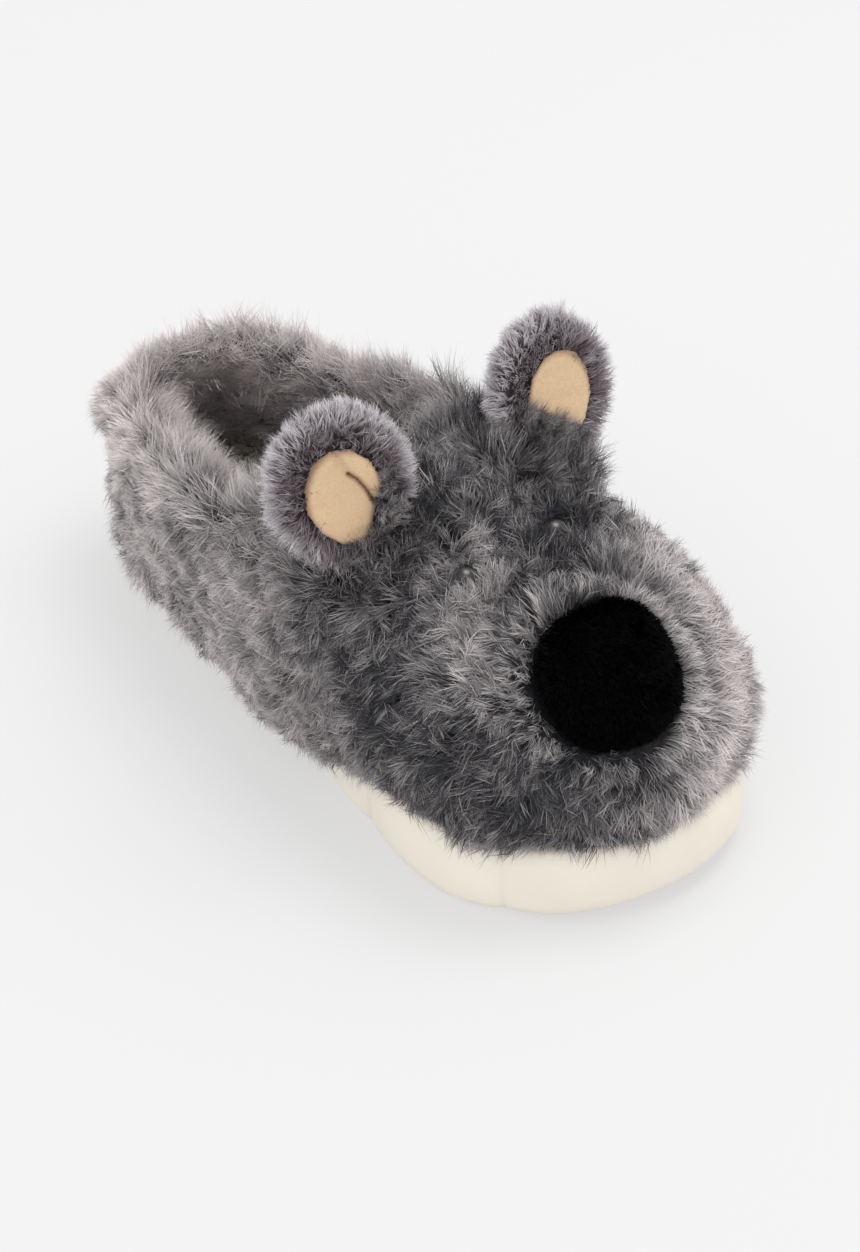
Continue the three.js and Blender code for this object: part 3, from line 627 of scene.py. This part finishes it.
def make_upper(looks):
    piece = soft_copy("upper", "upper_backing", 2.9, 12, looks["backing"])
    points, normals, _ = arrays(piece.data)
    points = to_shoe(points)
    near_nose = distance_to([surface_tree("nose")], points)
    near_eye = distance_to([surface_tree("eye_left"), surface_tree("eye_right")], points)
    near_ear = distance_to([surface_tree("ear_left"), surface_tree("ear_right")], points)
    near_face = np.minimum(np.minimum(near_nose, near_eye), near_ear)
    outward = unit(points - section_middle(points))
    facing = (normals * outward).sum(axis=1)
    outer = smoothstep(-0.25, 0.35, facing)
    sink = 2.0 + 3.2 * outer
    sink *= 0.35 + 0.65 * smoothstep(1.0, 10.0, near_face)
    roll = smoothstep(-0.1, 0.6, normals[:, 2]) * smoothstep(50.0, 62.0, points[:, 2])
    roll *= 1 - smoothstep(-44.0, -14.0, points[:, 1])
    sink -= 4.4 * roll
    points = points - normals * sink[:, None]
    for path, deep, wide in CREASES:
        away = path_distance(points, path)
        trough = np.exp(-((away / wide) ** 2))
        ridge = np.exp(-(((away - 2 * wide) / wide) ** 2))
        fold = -deep * trough + 0.35 * deep * ridge
        points = points + normals * (fold * outer)[:, None]
    piece.data.vertices.foreach_set("co", to_frame(points).ravel())
    piece.data.update()
    settle(piece, "body_fur", "upper")
    grow_body_pile(piece, facing, near_nose, near_eye, near_ear, looks)


def grow_body_pile(piece, facing, near_nose, near_eye, near_ear, looks):
    """The long pile of the upper, outside and in the collar, thinned where it is hidden."""
    points, normals, faces = arrays(piece.data)
    points = to_shoe(points)
    y, z = points[:, 1], points[:, 2]
    inside = 1 - smoothstep(-0.25, 0.1, facing)
    piece.data.attributes.new("inside", "FLOAT", "POINT").data.foreach_set("value", inside)
    deep_inside = inside * np.maximum(smoothstep(4.0, 26.0, y), 1 - smoothstep(26.0, 30.0, z))
    weight = np.where(near_nose > 0.9, 1.0, 0.0) * np.where(near_eye > 0.3, 1.0, 0.0)
    weight *= np.where(near_ear > 0.3, 1.0, 0.0) * (1 - deep_inside)
    weight *= np.where(normals[:, 2] < -0.55, 0.0, 1.0)
    hidden = smoothstep(10.0, 40.0, -points[:, 0]) * smoothstep(0.2, 0.8, -normals[:, 0]) * (1 - inside)
    weight *= (1 - 0.45 * hidden) * (1 - 0.1 * inside)
    rim = smoothstep(0.1, 0.75, normals[:, 2]) * smoothstep(56.0, 66.0, z) * (1 - smoothstep(-40.0, -8.0, y))
    rim = np.maximum(rim, inside * smoothstep(52.0, 62.0, z))
    linings = [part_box(f"ear_lining_{side}") for side in ("left", "right")]
    ear_middles = np.array([to_shoe(np.mean(box, axis=0)) for box in linings])

    corner, share = scattered(points, faces, BODY_DENSITY, weight, 21)
    root = gather(points, corner, share)
    normal = unit(gather(normals, corner, share))
    inner, top, by_nose, by_eye, by_ear = (
        gather(v, corner, share) for v in (inside, rim, near_nose, near_eye, near_ear))
    foot = (1 - smoothstep(32.0, 42.0, root[:, 2])) * (1 - inner)
    ear = ear_middles[np.linalg.norm(root[:, None] - ear_middles, axis=2).argmin(axis=1)]
    ear_side = 1 - smoothstep(4.0, 15.0, by_ear)
    radial = 1 - smoothstep(6.0, 26.0, by_nose)
    lie = brushed(root)
    lie += (unit(root - np.array(NOSE_MIDDLE)) - lie) * radial[:, None]
    upward = unit(np.array([0.0, 0.0, 1.0]) - 0.4 * unit(root - section_middle(root)))
    lie += (upward - lie) * inner[:, None]
    lie += (unit(ear - root) - lie) * ear_side[:, None]
    lie += (np.array([0.0, -0.2, -1.0]) - lie) * (foot * 0.6)[:, None]
    hem = foot * smoothstep(20.0, 70.0, root[:, 1])
    big_toe_side = root[:, 0] < 6
    length = BODY_LENGTH + INNER_EXTRA * inner + 0.5 * top + HEM_EXTRA * hem + EAR_FOOT_EXTRA * ear_side
    length += MUZZLE_EXTRA * radial * big_toe_side
    length += COLLAR_EXTRA * inner * smoothstep(36.0, 54.0, root[:, 2])
    length *= (0.6 + 0.4 * smoothstep(2.0, 9.0, by_nose)) * (0.8 + 0.2 * smoothstep(1.0, 6.0, by_eye))
    head = smoothstep(0.0, 0.6, normal[:, 2]) * smoothstep(-45.0, -10.0, root[:, 1])
    head *= 1 - smoothstep(62.0, 80.0, root[:, 1])
    mess = 0.38 + 0.4 * head - 0.3 * radial * big_toe_side + 0.3 * inner
    outer_rim = top * (1 - inner)
    lean_0 = 50.0 - 20.0 * outer_rim - 26.0 * ear_side - 8.0 * head + 4.0 * radial - 12.0 * inner
    lean_1 = 86.0 - 26.0 * outer_rim - 42.0 * ear_side - 10.0 * head - 30.0 * inner
    # Painted light: the pile hanging low over the sole towards the toe is lighter, a painted halo along the
    # hem.
    tone = tone_at(root) + 0.12 * hem
    # Painted light: the pile inside the collar is lighter, most of all low on the inner wall, to lift the
    # shade in the opening.
    tone += inner * (0.42 + 0.3 * (1 - smoothstep(38.0, 52.0, root[:, 2]))) * (1 - top)
    # Painted light on the upward-facing collar rim; painted shade on the pile around the ears' feet.
    tone += 0.24 * top - 0.1 * ear_side
    for k, (label, start, end) in enumerate(BODY_PARTS):
        at = (root[:, 1] >= start) & (root[:, 1] < end)
        made = grow(f"fur_{label}", root[at], normal[at], lie[at], length[at], tone[at], looks["fur"],
                    100 + 20 * k, lift=(lean_0[at], lean_1[at]), mess=mess[at])
        settle(made, "body_fur", "upper")


# EARS

# Where the head's pile hides each lining: a place on the line and the way past it, across and up.
LINING_CUTS = {"left": ((-12.5, 2.0), (-0.62, -0.785)), "right": ((10.6, -0.5), (0.94, -0.34))}

# The fold in the outer ear's lining, across and up from its middle.
LINING_FOLD = [(2.0, 7.4), (4.2, 5.4), (6.6, 1.6), (9.0, -3.6)]


def ear_axes(side):
    """Middle of an ear's lining and its ways: across to the picture's right, ahead and up."""
    points = to_shoe(arrays(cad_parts[f"ear_lining_{side}"].data)[0])
    low, high = to_shoe(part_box(f"ear_lining_{side}"))
    middle = (low + high) / 2
    spread = np.linalg.svd(points - points.mean(axis=0), full_matrices=False)[2]
    ahead = spread[2] * np.sign(spread[2][1])
    across = unit(np.cross(np.array([0.0, 0.0, 1.0]), ahead))
    return middle, across, ahead, np.cross(ahead, across)


def ear_form(side):
    """The ear's skin under its pile: a cupped pad drawn in at its foot."""
    middle, across, ahead, up = ear_axes(side)
    rows, columns = 40, 64
    polar = np.linspace(0.03, math.pi - 0.03, rows)[:, None]
    turn = np.linspace(0, 2 * math.pi, columns, endpoint=False)[None, :]
    x = (np.sin(polar) * np.cos(turn)).ravel()
    y = (np.sin(polar) * np.sin(turn)).ravel()
    z = (np.cos(polar) * np.ones_like(turn)).ravel()
    across_at = x * (EAR_WIDTH / 2 - EAR_SKIN)
    deep_at = np.sign(y) * np.abs(y) ** 0.72 * (EAR_THICKNESS / 2 - 0.7 * EAR_SKIN)
    up_at = z * (EAR_HEIGHT / 2 - EAR_SKIN)
    reach = np.minimum((across_at / EAR_WIDTH * 2) ** 2 + (up_at / EAR_HEIGHT * 2) ** 2, 1.2)
    across_at *= 1 - 0.22 * smoothstep(0.0, 1.0, -up_at / EAR_HEIGHT * 2)
    deep_at += EAR_CUP * (reach - 0.5) - (EAR_THICKNESS / 2 - 2.0)
    points = middle + np.outer(across_at, across) + np.outer(deep_at, ahead) + np.outer(up_at + 1.0, up)
    faces = []
    for r in range(rows - 1):
        for c in range(columns):
            d = (c + 1) % columns
            faces.append((r * columns + c, r * columns + d, (r + 1) * columns + d, (r + 1) * columns + c))
    faces.append(tuple(reversed(range(columns))))
    faces.append(tuple((rows - 1) * columns + c for c in range(columns)))
    return points, faces


def past_cut(side, u, v):
    """How far a place on an ear's face lies past the line where the head's pile begins."""
    place, way = LINING_CUTS[side]
    return (u - place[0]) * way[0] + (v - place[1]) * way[1]


def make_ear(side, looks):
    node = f"ear_{side}"
    middle, across, ahead, up = ear_axes(side)
    form, sides = ear_form(side)
    piece = make_object(f"{node}_backing", to_frame(form), sides, looks["ear_backing"])
    settle(piece, "ear_fur", node)
    points, normals, faces = arrays(piece.data)
    points = to_shoe(points)
    from_lining = distance_to([surface_tree(f"ear_lining_{side}")], points)
    low = to_shoe(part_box(node))[0]
    u, v = (points - middle) @ across, (points - middle) @ up
    covered = smoothstep(0.7, 1.6, past_cut(side, u, v)) * smoothstep(0.0, 0.4, normals @ ahead)
    weight = np.maximum(smoothstep(0.9, 2.4, from_lining), 2.6 * covered)
    weight *= smoothstep(low[2] + 2.0, low[2] + 9.0, points[:, 2])
    corner, share = scattered(points, faces, EAR_DENSITY, weight, 31)
    root = gather(points, corner, share)
    normal = unit(gather(normals, corner, share))
    gap = gather(from_lining, corner, share)
    cover = gather(covered, corner, share) * (1 - smoothstep(3.0, 6.0, gap))
    away = root - middle
    front = smoothstep(-0.2, 0.4, normal @ ahead)
    length = EAR_LENGTH + 0.8 * (1 - front)
    # Painted shade: the ear's pile darkens close to the lining, where it dips to the sunk patch.
    tone = 0.24 + 0.74 * smoothstep(2.5, 8.0, gap) + 0.05 * waves(root, 8.0, 41)
    tone += (0.1 if side == "left" else -0.06) * smoothstep(0.0, 20.0, away @ up)
    seed = 300 if side == "left" else 340
    at = cover <= 0.5
    made = grow(f"fur_{node}", root[at], normal[at], unit(away - 2.5 * ahead)[at], length[at], tone[at],
                looks["ear_fur"], seed, lift=(46.0, 66.0), mess=0.12, clump=1.4, pull=0.35, stray=0.1)
    settle(made, "ear_fur", node)
    at = cover > 0.5
    rise = np.tile(up - 0.3 * LINING_CUTS[side][1][0] * across, (at.sum(), 1))
    made = grow(f"fur_{node}_foot", root[at], normal[at], rise, length[at] + 2.0, 0.36 + 0 * tone[at],
                looks["fur"], seed + 20, lift=(20.0, 56.0), mess=0.6)
    settle(made, "ear_fur", node)


def make_lining(side, looks):
    """The velour patch, with the fold that shows at its upper inner corner on the outer ear, and painted
    shade along its edge, where the head's pile hides it and in the fold's crease.
    """
    node = f"ear_lining_{side}"
    piece = soft_copy(node, f"{node}_velour", 0.6, 4, looks["velour"])
    points, normals, _ = arrays(piece.data)
    points = to_shoe(points)
    middle, across, ahead, up = ear_axes(side)
    u, v = (points - middle) @ across, (points - middle) @ up
    front = smoothstep(0.1, 0.5, normals @ ahead)
    edge = np.sqrt((u / 12.5) ** 2 + (v / 16.0) ** 2)
    past = past_cut(side, u, v)
    # Painted shade: darker at the lining's edge and where the head's pile covers it.
    painted_shade = np.maximum(0.7 * smoothstep(0.82, 1.02, edge), 0.8 * smoothstep(-2.0, 0.5, past))
    lift = 0.9 * (1 - edge ** 2) - 5.0 * smoothstep(0.0, 1.6, past)
    if side == "right":
        flat = np.column_stack([u, v])
        line = path_distance(flat, LINING_FOLD)
        lobe = smoothstep(0.0, 1.4, (flat - LINING_FOLD[0]) @ unit(np.array([1.0, 0.55])))
        lift += 1.2 * lobe * smoothstep(-6.0, 2.0, v) - 1.6 * np.exp(-((line / 0.7) ** 2))
        # Painted shade along the fold's crease.
        painted_shade = np.maximum(painted_shade, np.exp(-((line / 0.6) ** 2)))
    lift = np.where(past > 0, lift, lift * front)
    points += ahead * lift[:, None]
    piece.data.vertices.foreach_set("co", to_frame(points).ravel())
    piece.data.update()
    piece.data.attributes.new("painted_shade", "FLOAT", "POINT").data.foreach_set("value", np.clip(painted_shade, 0, 1))
    settle(piece, "ear_velour", node)


# NOSE AND EYES


def make_nose(looks):
    piece = soft_copy("nose", "nose_backing", 1.4, 10, looks["nose_backing"])
    points, normals, faces = arrays(piece.data)
    points = to_shoe(points) - normals * 2.0
    ahead = np.array([0.0, math.cos(math.radians(NOSE_TILT)), math.sin(math.radians(NOSE_TILT))])
    up = np.array([0.0, -ahead[2], ahead[1]])
    middle = to_shoe(np.mean(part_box("nose"), axis=0))
    u, v = points[:, 0] - middle[0], (points - middle) @ up
    turn = np.arctan2(v, u)
    grow_by = -0.04 * np.cos(4 * turn) + 0.05 * np.exp(-(((turn + 1.75) / 0.35) ** 2))
    grow_by -= 0.06 * np.exp(-(((turn + 0.95) / 0.4) ** 2))
    points[:, 0] += u * grow_by
    points += np.outer(v * grow_by, up)
    piece.data.vertices.foreach_set("co", to_frame(points).ravel())
    piece.data.update()
    settle(piece, "nose_pile", "nose")
    weight = smoothstep(-0.6, -0.25, normals @ ahead)
    corner, share = scattered(points, faces, NOSE_DENSITY, weight, 51)
    root = gather(points, corner, share)
    normal = unit(gather(normals, corner, share))
    lie = np.tile([0.2, 0.4, -0.9], (len(root), 1))
    tone = 0.4 + 0.2 * waves(root, 9.0, 52)
    made = grow("nose_pile", root, normal, lie, np.full(len(root), NOSE_LENGTH), tone, looks["nose"], 380,
                width=0.38, lift=(20.0, 50.0), mess=0.4, clump=1.4, pull=0.3, stray=0.25)
    settle(made, "nose_pile", "nose")


def make_eye(side, looks):
    node = f"eye_{side}"
    low, high = (Vector(v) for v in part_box(node))
    mesh = bpy.data.meshes.new(f"{node}_bead")
    form = bmesh.new()
    bmesh.ops.create_uvsphere(form, u_segments=32, v_segments=20, radius=(high.x - low.x) / 2)
    bmesh.ops.scale(form, vec=(1.0, 1.0, 0.96), verts=form.verts)
    bmesh.ops.translate(form, vec=(low + high) / 2, verts=form.verts)
    form.to_mesh(mesh)
    form.free()
    mesh.polygons.foreach_set("use_smooth", [True] * len(mesh.polygons))
    mesh.materials.append(looks["bead"])
    piece = bpy.data.objects.new(f"{node}_bead", mesh)
    bpy.context.collection.objects.link(piece)
    settle(piece, "eye_bead", node)


# SOLE

# Outline from the heel through the outer side: x as a share of the local width, y of the length.
OUTLINE = [
    (0.039, -0.468), (0.250, -0.455), (0.408, -0.412), (0.487, -0.345), (0.526, -0.262), (0.513, -0.150),
    (0.479, -0.037), (0.460, 0.075), (0.472, 0.187), (0.487, 0.281), (0.469, 0.356), (0.399, 0.419),
    (0.289, 0.476), (0.132, 0.513), (-0.053, 0.528), (-0.237, 0.513), (-0.368, 0.476), (-0.452, 0.416),
    (-0.491, 0.352), (-0.478, 0.270), (-0.452, 0.199), (-0.418, 0.094), (-0.407, 0.007), (-0.381, -0.075),
    (-0.375, -0.150), (-0.408, -0.255), (-0.382, -0.345), (-0.303, -0.412), (-0.158, -0.455),
]
OUTER_NOTCHES = [-0.395, -0.25, -0.105, 0.04, 0.19, 0.415]
INNER_NOTCHES = [0.43, 0.28, 0.12, -0.06, -0.22, -0.385]

# Wall of the sole from the floor up: share of its height, inset as a share of SOLE_EDGE.
SOLE_WALL = [
    (0.0, 1.6), (0.0, 1.0), (0.02, 0.6), (0.06, 0.3), (0.12, 0.1), (0.22, 0.0), (0.4, 0.0),
    (0.6, 0.08), (0.78, 0.22), (0.88, 0.42), (0.95, 0.7), (0.985, 1.0), (1.0, 1.5),
]


def local_width(y):
    return HEEL_WIDTH + (BALL_WIDTH - HEEL_WIDTH) * smoothstep(-0.25, 0.25, y / SOLE_LENGTH)


def outline_points(count):
    """Even points on the smooth closed outline, with their outward directions."""
    corners = np.array([(x * local_width(y * SOLE_LENGTH), y * SOLE_LENGTH) for x, y in OUTLINE])
    dense = []
    total = len(corners)
    for i in range(total):
        p0, p1, p2, p3 = (corners[(i + k - 1) % total] for k in range(4))
        for t in np.arange(0, 1, 1 / 40):
            dense.append(0.5 * (2 * p1 + (p2 - p0) * t + (2 * p0 - 5 * p1 + 4 * p2 - p3) * t * t
                                + (3 * p1 - p0 - 3 * p2 + p3) * t ** 3))
    dense = np.array(dense + [dense[0]])
    length = np.concatenate([[0], np.cumsum(np.linalg.norm(np.diff(dense, axis=0), axis=1))])
    at = np.linspace(0, length[-1], count, endpoint=False)
    points = np.stack([np.interp(at, length, dense[:, k]) for k in range(2)], axis=1)
    tangent = unit(np.roll(points, -1, axis=0) - np.roll(points, 1, axis=0))
    return points, np.stack([tangent[:, 1], -tangent[:, 0]], axis=1)


def lobe_draw(points):
    """How far the outline is drawn in at each point: 1 in a notch, 0 on the crown of a lobe."""
    toe = int(points[:, 1].argmax())
    marks = [int(np.abs(points[:toe, 1] - s * SOLE_LENGTH).argmin()) for s in OUTER_NOTCHES]
    marks += [toe + int(np.abs(points[toe:, 1] - s * SOLE_LENGTH).argmin()) for s in INNER_NOTCHES]
    marks = sorted(marks)
    draw = np.zeros(len(points))
    for start, end in zip(marks, marks[1:] + [marks[0] + len(points)]):
        at = np.arange(start, end)
        draw[at % len(points)] = 1 - np.sin(math.pi * (at - start) / (end - start)) ** 0.45
    return draw


def sole_bottom(y):
    share = y / SOLE_LENGTH
    arch = ARCH_LIFT * smoothstep(-0.24, -0.14, share) * (1 - smoothstep(0.02, 0.12, share))
    return arch + TOE_SPRING * np.clip((share - 0.36) / 0.158, 0, 1.1) ** 2


def sole_top(y):
    return SOLE_HEIGHT + TOE_LIP * smoothstep(0.42, 0.52, y / SOLE_LENGTH)


def tread_grooves(outline):
    """The grooves to be cut from the tread, as one mesh of bowed bars."""
    points, faces = [], []
    for start, end in TREAD_ZONES:
        count = max(1, int((end - start) * SOLE_LENGTH / TREAD_PITCH))
        for y in np.linspace(start, end, count + 1) * SOLE_LENGTH:
            near = outline[np.abs(outline[:, 1] - y) < TREAD_PITCH * 0.8, 0]
            t = np.linspace(0.0, 1.0, 25)
            x = near.min() + TREAD_MARGIN + (near.max() - near.min() - 2 * TREAD_MARGIN) * t
            bow = TREAD_PITCH * 0.35 * np.cos((t - 0.5) * math.pi * 2)
            first = len(points)
            for k in range(len(t)):
                for level, half in ((-TREAD_DEPTH, 0.5), (TREAD_DEPTH, 0.5)):
                    for way in (-half, half):
                        points.append((x[k], y + bow[k] + way * TREAD_GROOVE, level))
            for k in range(len(t) - 1):
                a, b = first + 4 * k, first + 4 * k + 4
                faces += [(a, a + 1, b + 1, b), (a + 2, b + 2, b + 3, a + 3)]
                faces += [(a, b, b + 2, a + 2), (a + 1, a + 3, b + 3, b + 1)]
            last = first + 4 * (len(t) - 1)
            faces += [(first, first + 2, first + 3, first + 1), (last, last + 1, last + 3, last + 2)]
    return points, faces


def make_sole(looks):
    outline, out = outline_points(420)
    draw = lobe_draw(outline)
    rings = []
    for share, inset in SOLE_WALL:
        fade = 1 - 0.35 * share
        ring = outline - out * (inset * SOLE_EDGE + draw * LOBE_DEPTH * fade)[:, None]
        bottom, top = sole_bottom(ring[:, 1]), sole_top(ring[:, 1])
        rings.append(np.column_stack([ring, bottom + (top - bottom) * share]))
    count = len(outline)
    for inward in (0.7, 0.35, 0.1):
        for level, where in ((0, rings[0]), (1, rings[-1])):
            ring = where.copy()
            ring[:, 0] *= inward
            ring[:, 2] = (sole_top if level else sole_bottom)(ring[:, 1])
            if level:
                rings.append(ring)
            else:
                rings.insert(0, ring)
    points = np.concatenate(rings)
    faces = []
    for k in range(len(rings) - 1):
        for i in range(count):
            j = (i + 1) % count
            faces.append((k * count + i, k * count + j, (k + 1) * count + j, (k + 1) * count + i))
    faces.append(tuple(reversed(range(count))))
    faces.append(tuple(range((len(rings) - 1) * count, len(rings) * count)))
    piece = make_object("sole_foam", to_frame(points), faces, looks["foam"])
    bars, sides = tread_grooves(rings[4])
    cutter = make_object("tread_cutter", to_frame(bars), sides, looks["foam"], False)
    turn_outward(piece.data)
    turn_outward(cutter.data)
    cut = piece.modifiers.new("tread", "BOOLEAN")
    cut.operation = "DIFFERENCE"
    cut.object = cutter
    grooved = bpy.data.meshes.new_from_object(piece.evaluated_get(bpy.context.evaluated_depsgraph_get()))
    piece.modifiers.clear()
    piece.data = grooved
    bpy.data.objects.remove(cutter)
    settle(piece, "sole_foam", "sole")


def make_insole(looks):
    piece = soft_copy("insole", "footbed_plush", 3.0, 6, looks["footbed"])
    points, normals, faces = arrays(piece.data)
    points = to_shoe(points)
    settle(piece, "lining_plush", "insole")
    weight = smoothstep(0.8, 0.95, normals[:, 2]) * (1 - smoothstep(-25.0, 0.0, points[:, 1]))
    corner, share = scattered(points, faces, FOOTBED_DENSITY, weight, 61)
    root = gather(points, corner, share)
    normal = unit(gather(normals, corner, share))
    from_wall = gather(distance_to([surface_tree("upper")], points), corner, share)
    by_wall = 1 - smoothstep(1.0, 12.0, from_wall)
    inward = section_middle(root) - root
    inward[:, 2] = 0.0
    lie = np.tile([0.1, -1.0, 0.0], (len(root), 1))
    lie += (unit(inward) - lie) * np.maximum(by_wall, smoothstep(-88.0, -100.0, root[:, 1]))[:, None]
    # Painted light: lighter near the wall, lifting the shade in the slit between the footbed and the wall.
    tone = 0.62 + 0.1 * waves(root, 12.0, 62) + 0.2 * by_wall
    length = FOOTBED_LENGTH + EDGE_EXTRA * by_wall
    made = grow("footbed_pile", root, normal, lie, length, tone, looks["lining"], 400, width=0.4,
                lift=(40.0 - 22.0 * by_wall, 75.0 - 36.0 * by_wall), clump=1.6, pull=0.4)
    settle(made, "lining_plush", "insole")


make_camera()
make_studio()
LOOKS = {
    "fur": pile_material("grey_fur", srgb(46, 45, 50), srgb(58, 57, 63), srgb(236, 229, 228)),
    "lining": pile_material("lining_pile", srgb(120, 115, 110), srgb(160, 154, 147), srgb(232, 226, 216)),
    "ear_fur": pile_material("ear_fur", srgb(98, 84, 88), srgb(118, 104, 110), srgb(232, 228, 232)),
    "nose": pile_material("black_pile", srgb(1, 1, 1), srgb(1, 1, 1), srgb(8, 8, 8), 0.0, 0.04),
    "backing": backing_material("fur_backing", srgb(38, 37, 42), srgb(78, 76, 82),
                                lining=(srgb(84, 81, 80), srgb(150, 145, 140))),
    "ear_backing": backing_material("ear_backing", srgb(74, 64, 68), srgb(112, 101, 106), 500.0),
    "nose_backing": backing_material("nose_backing", srgb(1, 1, 1), srgb(4, 4, 4), 600.0),
    "footbed": backing_material("footbed_cloth", srgb(150, 145, 140), srgb(186, 180, 172), 600.0),
    "velour": velour_material(),
    "foam": foam_material(),
    "bead": bead_material(),
}
make_sole(LOOKS)
make_insole(LOOKS)
make_upper(LOOKS)
for side in ("left", "right"):
    make_ear(side, LOOKS)
    make_lining(side, LOOKS)
    make_eye(side, LOOKS)
make_nose(LOOKS)
